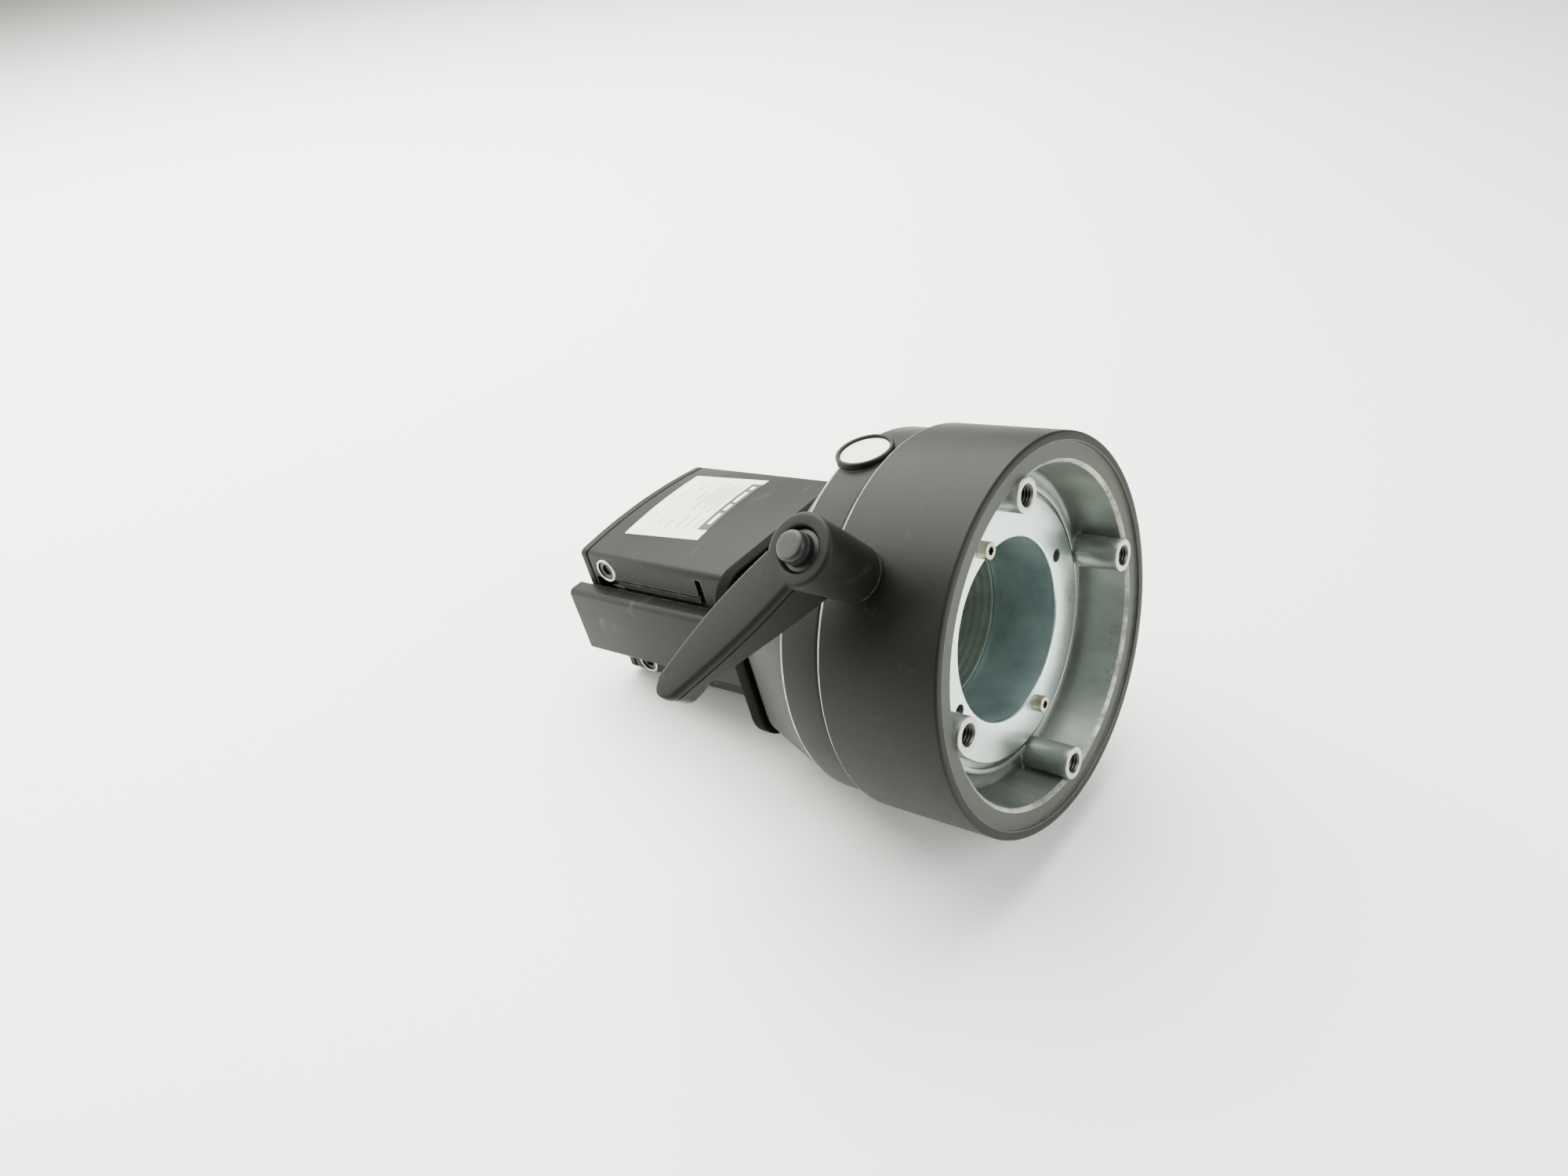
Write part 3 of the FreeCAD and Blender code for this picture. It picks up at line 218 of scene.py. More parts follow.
def powder_coat(name, dark, light, worn, rough=0.46, grain=1.0, wear=0.55):
    """Satin powder coat on a casting: fine orange peel, soft blotches, pale worn edges."""
    s = Shader(name)
    blotch = s.ramp(s.noise(14.0, 4.0), 0.3, 0.7)
    speck = s.ramp(s.noise(2400.0, 2.0, 0.7), 0.35, 0.65)
    base = s.mix(blotch, dark, light)
    base = s.mix(s.math("MULTIPLY", speck, 0.16), base, light)
    scuffs = s.ramp(s.noise(60.0, 6.0, 0.7, s.stretched((1.0, 0.25, 1.0))), 0.62, 0.8)
    base = s.mix(s.math("MULTIPLY", scuffs, 0.16), base, worn)
    edge = s.edges(0.0007)
    broken = s.ramp(s.noise(210.0, 5.0, 0.7), 0.35, 0.6)
    edge = s.math("MULTIPLY", s.math("MULTIPLY", edge, broken), wear)
    s.put(s.bsdf.inputs["Base Color"], s.mix(edge, base, worn))
    spread = s.math("ADD", s.math("MULTIPLY", blotch, 0.08), rough - 0.04)
    s.put(s.bsdf.inputs["Roughness"], s.math("ADD", spread, s.math("MULTIPLY", speck, 0.05)))
    s.bsdf.inputs["Specular IOR Level"].default_value = 0.15
    peel = s.bump(s.noise(1500.0, 2.0), 0.22 * grain, 0.00012)
    s.put(s.bsdf.inputs["Normal"], s.bump(s.noise(160.0, 3.0), 0.12, 0.0002, peel))
    return s.material


def cast_metal(name, dark, light, rough):
    """Bare die-cast aluminium: satin, with flow marks and soft oxide blotches."""
    s = Shader(name)
    flow = s.ramp(s.noise(16.0, 4.0, 0.5, s.stretched((1.0, 2.5, 2.5))), 0.2, 0.8)
    cloud = s.ramp(s.noise(30.0, 4.0), 0.3, 0.75)
    fine = s.noise(1300.0, 3.0, 0.7)
    base = s.mix(flow, dark, light)
    base = s.mix(s.math("MULTIPLY", cloud, 0.35), base, dark)
    edge = s.edges(0.0006)
    s.put(s.bsdf.inputs["Base Color"], s.mix(s.math("MULTIPLY", edge, 0.6), base, light))
    s.bsdf.inputs["Metallic"].default_value = 0.8
    spread = s.math("ADD", s.math("MULTIPLY", cloud, 0.16), rough)
    s.put(s.bsdf.inputs["Roughness"], s.math("ADD", spread, s.math("MULTIPLY", fine, 0.06)))
    pits = s.bump(fine, 0.12, 0.00008)
    s.put(s.bsdf.inputs["Normal"], s.bump(flow, 0.05, 0.0003, pits))
    return s.material


def edge_highlight_and_wear(name, coat, metal):
    """A pale band on a casting's edge: painted highlight along the edge, in patches like a rubbed
    edge where bare metal shows through what is left of the coat.
    """
    s = Shader(name)
    patch = s.ramp(s.noise(95.0, 6.0, 0.72), 0.34, 0.58)
    speck = s.ramp(s.noise(900.0, 3.0, 0.7), 0.3, 0.6)
    bare = s.math("MULTIPLY", patch, s.ramp(speck, 0.0, 1.0, 0.6, 1.0))
    s.put(s.bsdf.inputs["Base Color"], s.mix(bare, coat, metal))
    s.put(s.bsdf.inputs["Metallic"], s.math("MULTIPLY", bare, 0.45))
    s.put(s.bsdf.inputs["Roughness"], s.ramp(patch, 0.0, 1.0, 0.5, 0.36))
    s.put(s.bsdf.inputs["Normal"], s.bump(patch, 0.15, 0.0002))
    return s.material


def plated_metal(name, dark, light, rough, brush=(900.0, 40.0, 40.0), depth=0.06,
                 metallic=1.0):
    """Zinc-plated or machined steel: faint tool lines, slight colour drift."""
    s = Shader(name)
    lines = s.noise(1.0, 3.0, 0.6, s.stretched(brush))
    cloud = s.ramp(s.noise(45.0, 4.0), 0.3, 0.7)
    base = s.mix(cloud, dark, light)
    stain = s.ramp(s.noise(120.0, 6.0, 0.7), 0.6, 0.8)
    s.put(s.bsdf.inputs["Base Color"], s.mix(s.math("MULTIPLY", stain, 0.25), base, dark))
    s.bsdf.inputs["Metallic"].default_value = metallic
    spread = s.math("ADD", s.math("MULTIPLY", cloud, 0.10), rough)
    s.put(s.bsdf.inputs["Roughness"], s.math("ADD", spread, s.math("MULTIPLY", lines, 0.08)))
    s.put(s.bsdf.inputs["Normal"], s.bump(lines, depth, 0.0001))
    return s.material


def soft_plastic(name, dark, light, rough, grain=0.12, worn=None, gloss=0.35):
    """Moulded plastic or rubber: fine spark-eroded grain and handling marks."""
    s = Shader(name)
    cloud = s.ramp(s.noise(38.0, 4.0), 0.3, 0.7)
    fine = s.noise(1900.0, 2.0, 0.6)
    base = s.mix(cloud, dark, light)
    marks = s.ramp(s.noise(95.0, 6.0, 0.7), 0.62, 0.82)
    base = s.mix(s.math("MULTIPLY", marks, 0.2), base, worn or light)
    edge = s.math("MULTIPLY", s.edges(0.0005), 0.3)
    s.put(s.bsdf.inputs["Base Color"], s.mix(edge, base, worn or light))
    s.bsdf.inputs["Specular IOR Level"].default_value = gloss
    s.put(s.bsdf.inputs["Roughness"], s.math("ADD", s.math("MULTIPLY", fine, 0.12), rough))
    s.put(s.bsdf.inputs["Normal"], s.bump(fine, grain, 0.0001))
    return s.material


def turned_metal(name, dark, light, rough, lines_per_metre, depth):
    """A turned bore: rings of tool marks along the swivel axis."""
    s = Shader(name)
    wave = s.add("ShaderNodeTexWave")
    wave.wave_type = "BANDS"
    wave.bands_direction = "X"
    wave.inputs["Scale"].default_value = lines_per_metre
    wave.inputs["Distortion"].default_value = 1.2
    wave.inputs["Detail"].default_value = 2.0
    s.link(s.coords, wave.inputs["Vector"])
    cloud = s.ramp(s.noise(30.0, 4.0), 0.3, 0.7)
    base = s.mix(cloud, dark, light)
    s.put(s.bsdf.inputs["Base Color"],
          s.mix(s.math("MULTIPLY", wave.outputs["Fac"], 0.5), base, dark))
    s.bsdf.inputs["Metallic"].default_value = 0.6
    s.put(s.bsdf.inputs["Roughness"], s.math("ADD", s.math("MULTIPLY", cloud, 0.1), rough))
    s.put(s.bsdf.inputs["Normal"], s.bump(wave.outputs["Fac"], depth, 0.0002))
    return s.material


def mild_floor():
    """A pale matt table top, very slightly clouded."""
    s = Shader("table_top")
    cloud = s.ramp(s.noise(1.6, 4.0), 0.3, 0.7)
    fine = s.noise(240.0, 3.0)
    s.put(s.bsdf.inputs["Base Color"], s.mix(cloud, rgb(249, 251, 245), rgb(253, 254, 249)))
    s.put(s.bsdf.inputs["Roughness"], s.math("ADD", s.math("MULTIPLY", fine, 0.08), 0.5))
    s.put(s.bsdf.inputs["Normal"], s.bump(fine, 0.03, 0.0002))
    return s.material


PAINT = powder_coat("charcoal_coat", rgb(14, 16, 12), rgb(19, 21, 17), rgb(136, 138, 124))
RIM_PAINT = powder_coat("rim_coat", rgb(52, 55, 49), rgb(66, 69, 62), rgb(176, 178, 162),
                        rough=0.4, wear=0.6)
LEVER_PAINT = powder_coat("lever_coat", rgb(15, 17, 13), rgb(20, 22, 18), rgb(92, 94, 84),
                          rough=0.5, grain=1.3, wear=0.35)
CAST = cast_metal("cast_aluminium", rgb(112, 118, 113), rgb(194, 200, 192), rough=0.22)
EDGE = cast_metal("machined_edge", rgb(176, 178, 167), rgb(208, 209, 197), rough=0.36)
# pale edge bands: painted highlight along the edges, patchy like rubbed bare metal
EDGE_HIGHLIGHT_AND_WEAR = edge_highlight_and_wear("edge_highlight_and_wear", rgb(70, 72, 67), rgb(172, 173, 158))
ZINC = plated_metal("blue_zinc", rgb(196, 209, 205), rgb(218, 230, 226), rough=0.22,
                    brush=(60.0, 300.0, 300.0), depth=0.02)
# a darker, less metallic copy of the blue zinc for the sleeve's bore: painted shade inside the
# bore
SHADED_SLEEVE_WALL = plated_metal("shaded_sleeve_wall", rgb(124, 144, 145), rgb(158, 178, 178), rough=0.32,
                           brush=(700.0, 60.0, 60.0), depth=0.01, metallic=0.55)
BORE = turned_metal("turned_bore", rgb(124, 132, 124), rgb(196, 204, 194), 0.26, 90.0, 0.5)
RUBBER = soft_plastic("black_rubber", rgb(5, 5, 4), rgb(8, 8, 6), rough=0.7, grain=0.2,
                      worn=rgb(34, 34, 27), gloss=0.06)
WHITE = soft_plastic("white_cap", rgb(222, 222, 203), rgb(233, 233, 216), rough=0.34,
                     grain=0.05)
BUTTON = soft_plastic("grey_button", rgb(15, 17, 15), rgb(20, 22, 19), rough=0.4,
                      worn=rgb(96, 98, 94))
YELLOW = plated_metal("yellow_zinc", rgb(134, 128, 104), rgb(190, 184, 160), rough=0.28)
STEEL = plated_metal("screw_zinc", rgb(150, 152, 147), rgb(200, 202, 195), rough=0.24)
DARK_STEEL = plated_metal("dark_steel", rgb(58, 60, 58), rgb(86, 88, 84), rough=0.34)
BRASS = plated_metal("brass", rgb(176, 146, 82), rgb(214, 184, 112), rough=0.3)
POLYMER = soft_plastic("slide_polymer", rgb(48, 49, 47), rgb(60, 61, 58), rough=0.4)
FILM = soft_plastic("label_film", rgb(214, 214, 192), rgb(226, 226, 206), rough=0.38, grain=0.04)
INK = soft_plastic("label_ink", rgb(44, 45, 39), rgb(54, 55, 48), rough=0.42, grain=0.04)
FADED_INK = soft_plastic("label_faded_ink", rgb(104, 104, 92), rgb(128, 128, 114), rough=0.42,
                         grain=0.04)
PALE_INK = soft_plastic("label_pale_ink", rgb(214, 213, 200), rgb(228, 227, 214), rough=0.42,
                        grain=0.04)


# ------------------------------------------------------------------ mesh helpers
def mesh_of(builder, name):
    """A finished bmesh in millimetres as a mesh in metres."""
    bmesh.ops.remove_doubles(builder, verts=builder.verts, dist=0.0005)
    bmesh.ops.recalc_face_normals(builder, faces=builder.faces)
    builder.transform(Matrix.Scale(MM, 4))
    mesh = bpy.data.meshes.new(name)
    builder.to_mesh(mesh)
    builder.free()
    return mesh


def place(builder, name, body, materials, replaces=()):
    """Turn a bmesh in millimetres into a piece that rides on a CAD body."""
    mesh = mesh_of(builder, name)
    for material in materials:
        mesh.materials.append(material)
    piece = bpy.data.objects.new(name, mesh)
    bpy.context.scene.collection.objects.link(piece)
    smooth(piece, 32)
    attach(piece, body)
    if replaces:
        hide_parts(*replaces)
    return piece


def smooth(piece, angle):
    """Shade a piece smooth, apart from the edges that are sharper than the angle."""
    for polygon in piece.data.polygons:
        polygon.use_smooth = True
    piece.data.set_sharp_from_angle(angle=math.radians(angle))


def rounded(corners, steps=5):
    """Corners as (x, y) or (x, y, radius), closed; returns points with arcs at the radii."""
    points = []
    count = len(corners)
    for i, corner in enumerate(corners):
        here = Vector(corner[:2])
        radius = corner[2] if len(corner) > 2 else 0.0
        if radius <= 0:
            points.append(tuple(here))
            continue
        before = Vector(corners[i - 1][:2]) - here
        after = Vector(corners[(i + 1) % count][:2]) - here
        half = before.angle(after) / 2
        reach = min(radius / math.tan(half), 0.49 * before.length, 0.49 * after.length)
        radius = reach * math.tan(half)
        start = here + before.normalized() * reach
        end = here + after.normalized() * reach
        centre = here + (before.normalized() + after.normalized()).normalized() * (
            radius / math.sin(half))
        a, b = start - centre, end - centre
        sweep = a.angle(b)
        turn = 1.0 if a.x * b.y - a.y * b.x > 0 else -1.0
        for k in range(steps + 1):
            t = turn * sweep * k / steps
            spun = Vector((a.x * math.cos(t) - a.y * math.sin(t),
                           a.x * math.sin(t) + a.y * math.cos(t)))
            points.append(tuple(centre + spun))
    return points


def skin(stations, material_of):
    """Join rings about the X axis, the last to the first; a radius is a number or a function."""
    builder = bmesh.new()
    rings = []
    for x, radius in stations:
        ring = []
        for k in range(AROUND):
            a = 2 * math.pi * (k + FACET_PHASE) / AROUND
            r = radius(a) if callable(radius) else radius
            ring.append(builder.verts.new((x, r * math.cos(a), r * math.sin(a))))
        rings.append(ring)
    for one, two in zip(rings, rings[1:] + rings[:1]):
        for k in range(AROUND):
            n = (k + 1) % AROUND
            face = builder.faces.new((one[k], one[n], two[n], two[k]))
            face.material_index = material_of(face)
    return builder


def prism(outline, low, high, edge=0.0, axis="x", steps=3):
    """Extrude a closed outline along an axis; the edge radius rounds its two ends."""
    builder = bmesh.new()

    def spot(point, along):
        across, up = point
        if axis == "x":
            return (along, across, up)
        if axis == "y":
            return (across, along, up)
        return (across, up, along)

    levels = [(low, 0.0), (high, 0.0)]
    if edge > 0:
        arc = [math.pi / 2 * k / steps for k in range(steps + 1)]
        levels = [(low + edge - edge * math.cos(t), edge - edge * math.sin(t)) for t in arc]
        levels += [(high - (along - low), inset) for along, inset in reversed(levels)]
    rings = []
    for along, inset in levels:
        shrunk = offset(outline, inset) if inset > 1e-6 else outline
        rings.append([builder.verts.new(spot(p, along)) for p in shrunk])
    count = len(outline)
    for one, two in zip(rings, rings[1:]):
        for k in range(count):
            n = (k + 1) % count
            builder.faces.new((one[k], one[n], two[n], two[k]))
    builder.faces.new(rings[0])
    builder.faces.new(rings[-1])
    return builder


def offset(outline, inset):
    """Move each point of a closed outline inwards."""
    area = sum(a[0] * b[1] - b[0] * a[1] for a, b in zip(outline, outline[1:] + outline[:1]))
    sign = 1.0 if area > 0 else -1.0
    shifted = []
    count = len(outline)
    for i in range(count):
        before = Vector(outline[i]) - Vector(outline[i - 1])
        after = Vector(outline[(i + 1) % count]) - Vector(outline[i])
        if before.length < 1e-7 or after.length < 1e-7:
            shifted.append(outline[i])
            continue
        n1 = Vector((-before.y, before.x)).normalized() * sign
        n2 = Vector((-after.y, after.x)).normalized() * sign
        middle = n1 + n2
        scale = 2.0 / max(middle.length_squared, 0.4)
        shifted.append(tuple(Vector(outline[i]) + middle * scale * inset))
    return shifted


def tube(radius, low, high, around=64):
    """A solid cylinder along z."""
    ring = [(radius * math.cos(2 * math.pi * k / around),
             radius * math.sin(2 * math.pi * k / around)) for k in range(around)]
    return prism(ring, low, high, axis="z")


def combine(target, tool, operation):
    """A boolean between a finished piece and a bmesh in millimetres; keeps the piece."""
    helper = bpy.data.objects.new("tool", mesh_of(tool, "tool"))
    bpy.context.scene.collection.objects.link(helper)
    modifier = target.modifiers.new("boolean", "BOOLEAN")
    modifier.operation = operation
    modifier.solver = "EXACT"
    modifier.object = helper
    modifier.material_mode = "INDEX"
    bpy.context.view_layer.update()
    made = bpy.data.meshes.new_from_object(
        target.evaluated_get(bpy.context.evaluated_depsgraph_get()))
    target.modifiers.clear()
    target.data = made
    bpy.data.objects.remove(helper)


def painted(builder, index):
    """Give every face the piece's material of this index."""
    for face in builder.faces:
        face.material_index = index
    return builder


def moved(builder, matrix):
    builder.transform(matrix)
    return builder


def radial(at, angle, turn=0.0):
    """A placement whose z axis points out of the swivel axis at an angle from +Y."""
    return (Matrix.Translation((at, 0, 0))
            @ Matrix.Rotation(math.radians(angle - 90.0), 4, "X")
            @ Matrix.Rotation(math.radians(turn), 4, "Z"))


def facing_x(at, y, z):
    """A placement whose z axis runs along +X."""
    return Matrix.Translation((at, y, z)) @ Matrix.Rotation(math.radians(90), 4, "Y")


LEVER = radial(LEVER_AT, LEVER_ANGLE, ARM_TURN)
PLUG = radial(PLUG_AT, PLUG_ANGLE)


# ------------------------------------------------------------------ drum
DRUM_COAT, DRUM_RIM, DRUM_CAST, DRUM_CUT, DRUM_EDGE_HIGHLIGHT_AND_WEAR, DRUM_THREAD_SHADE = range(6)


def make_drum():
    """The open casting with its bosses; its profile runs round the wall as (place, radius)."""
    profile = rounded([
        (-20.9, 46.6), (SKIRT_END_AT, 46.6), (SKIRT_END_AT, 51.4, 0.5), (-27.5, 51.5, 1.5),
        (-27.5, 69, 3), (-46, 69), (-46, 64), (-50.4, 64), (-50.4, 72.9, 0.3), (-48.9, 74.5),
        (-48.2, DRUM_RADIUS, 0.5), (-47.6, DRUM_RADIUS), (DRUM_FACE_AT, DRUM_RADIUS, 0.9),
        (DRUM_FACE_AT, 71.3, 0.5), (-1.3, 71.2, 0.4), (-1.3, 64.9, 0.35),
        (-2.6, 63.5, 0.7), (-24, 62.2, 3.2), (-24, 55.6, 1.4), (-18.6, 55.3, 0.8),
        (-18.6, 53.0, 0.4), (-20.9, 52.9)], 5)

    def part_of(face):
        centre = face.calc_center_median()
        reach = math.hypot(centre.y, centre.z)
        # the mouth chamfer and the drum's rear edge take the pale band: painted highlight, patchy
        # like rubbed bare metal
        if centre.x > -2.75 and 63.2 < reach < 65.0:
            return DRUM_EDGE_HIGHLIGHT_AND_WEAR
        if centre.x < -48.0 and reach > 73.3:
            return DRUM_EDGE_HIGHLIGHT_AND_WEAR
        if centre.x > -1.45 and 65.2 <= reach < 72.2:
            return DRUM_RIM
        if centre.x > -24.6 and reach < 63.6:
            return DRUM_CAST
        return DRUM_COAT

    piece = place(skin(profile, part_of), "drum_casting", "drum",
                  [PAINT, RIM_PAINT, CAST, EDGE, EDGE_HIGHLIGHT_AND_WEAR, DARK_STEEL],
                  replaces=["drum_housing"])
    for quarter in range(4):
        spin = Matrix.Rotation(math.radians(90 * quarter), 4, "X")
        foot = prism(rounded([(-6.9, 53.6, 1.0), (-6.9, 64.2), (6.9, 64.2), (6.9, 53.6, 1.0)]),
                     -26, -18.9, 0.9)
        combine(piece, moved(painted(foot, DRUM_CAST), spin), "UNION")
        boss = spin @ facing_x(0, BOLT_CIRCLE, 0) @ Matrix.Rotation(BOSS_TURN, 4, "Z")
        combine(piece, moved(boss_post(), boss), "UNION")
    lug = tube(11.4, 64.0, 72.0, 96)
    bush_hole = tube(9.05, 60, 84)
    combine(piece, moved(lug, LEVER), "UNION")
    combine(piece, moved(bush_hole, LEVER), "DIFFERENCE")
    smooth(piece, 34)


def boss_post(minor=3.4, thread=0.42, pitch=1.25, depth=16.0):
    """A cast column with a machined face on z = 0 and a tapped hole with a broken edge."""
    profile = [(0.0, -26.0), (6.75, -26.0), (6.45, -3.0), (6.4, -0.35), (6.28, -0.08),
               (6.05, 0.0), (4.3, 0.0), (4.18, -0.06), (minor, -0.85)]
    z = -0.85
    while z > pitch - depth:
        profile += [(minor + thread, z - 0.45 * pitch), (minor + thread, z - 0.55 * pitch),
                    (minor, z - 0.9 * pitch), (minor, z - pitch)]
        z -= pitch
    profile += [(minor, -depth + 1.8), (0.0, -depth)]
    builder = turned_solid(profile, 72)
    for face in builder.faces:
        centre = face.calc_center_median()
        across = math.hypot(centre.x, centre.y)
        # the tapped thread takes the dark steel slot: painted shade inside the hole
        if across < 4.15 and -depth - 0.5 < centre.z < -0.1:
            face.material_index = DRUM_THREAD_SHADE
        else:
            face.material_index = DRUM_CUT if centre.z > -0.4 else DRUM_CAST
    return builder


# ------------------------------------------------------------------ neck
def rectangle_reach(half_wide, half_high, corner):
    """The distance from the axis to a rounded rectangle, as a function of the angle."""
    def reach(a):
        c, s = abs(math.cos(a)), abs(math.sin(a))
        direct = min(half_wide / c if c > 1e-9 else 1e9, half_high / s if s > 1e-9 else 1e9)
        if direct * c > half_wide - corner and direct * s > half_high - corner:
            cx, cy = half_wide - corner, half_high - corner
            along = c * cx + s * cy
            across = cx * cx + cy * cy - corner * corner
            inside = along * along - across
            if inside > 0:
                direct = along + math.sqrt(inside)
        return direct
    return reach


def blend_reach(radius, other, share):
    """From a circle, at share 0, to another outline, at share 1."""
    return lambda a: radius * (1 - share) + other(a) * share


def make_neck():
    """The casting from the spigot in the drum to the land behind the gasket."""
    square = rectangle_reach(55.0, 37.5, 15.0)
    stations = [(NECK_FRONT_AT, 37.1), (NECK_FRONT_AT, 45.0), (-65.9, 45.0), (-65.9, 52.1)]
    stations += [(-51.4, 52.1), (-50.8, 52.7), (-50.8, 71.7), (-50.95, 72.15), (-51.4, 72.4),
                 (-52.2, 72.5), (-67.0, 72.5), (-67.7, 72.4), (-68.1, 72.1), (-68.3, 71.7)]
    ring_rear, flare_length, steps = -68.3, 31.9, 22
    for k in range(1, steps + 1):
        t = k / steps
        stations.append((ring_rear - flare_length * t, blend_reach(71.7, square, t ** 1.06)))
    tight = rectangle_reach(54.4, 36.9, 14.4)
    land = rectangle_reach(52.0, 34.5, 12.0)
    stations += [(-100.75, rectangle_reach(54.85, 37.35, 14.9)), (-101.0, tight),
                 (-101.05, rectangle_reach(52.5, 35.0, 12.4)), (-101.3, land),
                 (NECK_REAR_AT, land), (NECK_REAR_AT, CABLE_BORE), (-88.4, CABLE_BORE),
                 (-88.0, 23.4), (-88.0, 33.1), (-87.6, 33.5),
                 (-46.0, 33.5), (-46.0, 37.1)]

    def part_of(face):
        centre = face.calc_center_median()
        reach = math.hypot(centre.y, centre.z)
        if reach < 37.0:
            return 1
        # the ring's rear edge takes the pale band: painted highlight, patchy like rubbed bare
        # metal
        if -68.4 < centre.x < -67.3 and reach > 71.6:
            return 2
        return 0

    piece = place(skin(stations, part_of), "neck_shell", "arm",
                  [PAINT, BORE, EDGE_HIGHLIGHT_AND_WEAR], replaces=["neck_casting"])
    pad = rounded([(11.1, 60.0), (11.1, 74.5, 0.7), (9.7, 74.5, 0.3), (9.7, 71.9), (0.0, 71.9),
                   (0.0, 60.0)], 4)
    combine(piece, moved(turned_solid(pad, 96), PLUG), "UNION")
    combine(piece, moved(tube(9.7, 71.9, 80.0, 96), PLUG), "DIFFERENCE")
    smooth(piece, 30)


def turned_solid(profile, around=64):
    """Revolve (radius, z) points about z; points on the axis are merged by place()."""
    builder = bmesh.new()
    rings = []
    for r, z in profile:
        if r < 1e-6:
            rings.append([builder.verts.new((0, 0, z))])
        else:
            rings.append([builder.verts.new((r * math.cos(2 * math.pi * k / around),
                                             r * math.sin(2 * math.pi * k / around), z))
                          for k in range(around)])
    for i in range(len(rings)):
        one, two = rings[i], rings[(i + 1) % len(rings)]
        if len(one) == 1 and len(two) == 1:
            continue
        for k in range(around):
            n = (k + 1) % around
            corners = [one[k % len(one)], one[n % len(one)], two[n % len(two)],
                       two[k % len(two)]]
            unique = list(dict.fromkeys(corners))
            if len(unique) > 2:
                builder.faces.new(unique)
    return builder


def make_plug():
    profile = rounded([(0.0, 71.95), (9.55, 71.95), (9.55, 73.5, 0.45), (8.3, 73.5, 0.2),
                       (7.9, 73.25, 0.2), (0.0, 73.3)], 4)
    place(moved(turned_solid(profile, 96), PLUG), "plug_disc", "arm", [WHITE],
          replaces=["plug_cap"])


def make_gasket():
    wide, high, corner = GASKET_HALF_WIDTH, GASKET_HALF_HEIGHT, 13
    outline = rounded([(-wide, -high, corner), (wide, -high, corner), (wide, high, corner),
                       (-wide, high, corner)], 14)
    piece = place(prism(outline, GASKET_REAR_AT, NECK_REAR_AT, 1.0, "x", 4), "gasket", "arm",
                  [RUBBER], replaces=["neck_gasket"])
    hole = tube(25.0, -114, -100, 96)
    combine(piece, moved(hole, facing_x(0, 0, 0)), "DIFFERENCE")
    smooth(piece, 32)


# ------------------------------------------------------------------ tube housing
def crowned(edge=3.2, step_edge=1.2, across=18):
    """The housing's section: crowned top and bottom, and a step in each side."""
    def sag(y):
        return CROWN_RADIUS - math.sqrt(CROWN_RADIUS ** 2 - y ** 2)

    top, low = HALF_WIDTH, LOW_HALF_WIDTH
    points = [(low, LOW_EDGE, edge), (low, STEP_HEIGHT, step_edge),
              (top, STEP_HEIGHT, step_edge), (top, TOP_EDGE, edge)]
    for k in range(1, across):
        y = top - 2 * top * k / across
        points.append((y, TOP_EDGE + CROWN - sag(y)))
    points += [(-top, TOP_EDGE, edge), (-top, STEP_HEIGHT, step_edge),
               (-low, STEP_HEIGHT, step_edge), (-low, LOW_EDGE, edge)]
    for k in range(1, across):
        y = -low + 2 * low * k / across
        points.append((y, LOW_EDGE - sag(low) + sag(y)))
    return rounded(points, 6)


def block(x0, x1, y0, y1, z0, z1, edge):
    """A box along X, its four long edges and its ends rounded."""
    ring = rounded([(y0, z0, edge), (y1, z0, edge), (y1, z1, edge), (y0, z1, edge)], 3)
    return prism(ring, x0, x1, min(edge, 0.4), "x", 2)


def make_housing():
    """The housing with its tube socket, side cuts and screw wells."""
    # the third slot, dark steel, is painted shade for the pocket by the clamp screw
    piece = place(prism(crowned(), HOUSING_REAR_AT, -111.1, 0.5, "x", 3), "housing_shell",
                  "arm", [PAINT, CAST, DARK_STEEL],
                  replaces=["tube_housing"])
    wide, high = TUBE_HALF_WIDTH, TUBE_HALF_HEIGHT
    combine(piece, painted(block(-204, -126, -wide, wide, -high, high, 2.0), 1), "DIFFERENCE")
    combine(piece, moved(painted(tube(CABLE_BORE, -130, -105, 96), 1), facing_x(0, 0, 0)),
            "DIFFERENCE")
    # rear end, front end, depth, low side, high side, corner radius, material
    cuts = ((-135.8, -132.6, 3.2, 14.0, 27.6, 1.2, 0),      # upright slot
            # the pocket's walls take the dark steel slot: painted shade in the recess under the
            # clamp screw
            (-199.3, -185.2, 5.0, 12.0, 19.6, 1.0, 2),      # dark pocket by the clamp screw
            (-186.4, -112.0, 1.6, 12.0, 16.4, 0.5, 0),      # groove above the cover
            (-186.4, -112.0, 0.8, 18.6, 19.6, 0.3, 0))      # fine line above the groove
    for side in (1, -1):
        for rear, front, depth, low, top, corner, index in cuts:
            near, far = sorted((side * (HALF_WIDTH - depth), side * 46.0))
            cut = block(rear, front, near, far, low, top, corner)
            combine(piece, painted(cut, index), "DIFFERENCE")
        for height, across, _ in SIDE_SCREWS:
            well = tube(6.0, -CLAMP_HEAD_DEPTH, 3.0, 72)
            combine(piece, moved(well, side_frame(side, across, height)), "DIFFERENCE")
    smooth(piece, 30)


def side_frame(side, across, height):
    """A placement on a side face at a clamp screw, its z axis pointing outwards."""
    return (Matrix.Translation((CLAMP_SCREW_AT, side * across, height))
            @ Matrix.Rotation(math.radians(-90 * side), 4, "X"))


def make_end_frame():
    piece = place(prism(crowned(), FRAME_REAR_AT, FRAME_FRONT_AT, 0.9, "x", 4), "rear_frame",
                  "arm", [PAINT], replaces=["end_frame"])
    play = 0.4
    wide, high = TUBE_HALF_WIDTH - play, TUBE_HALF_HEIGHT - play
    combine(piece, block(-208, -198, -wide, wide, -high, high, 1.6), "DIFFERENCE")
    smooth(piece, 30)


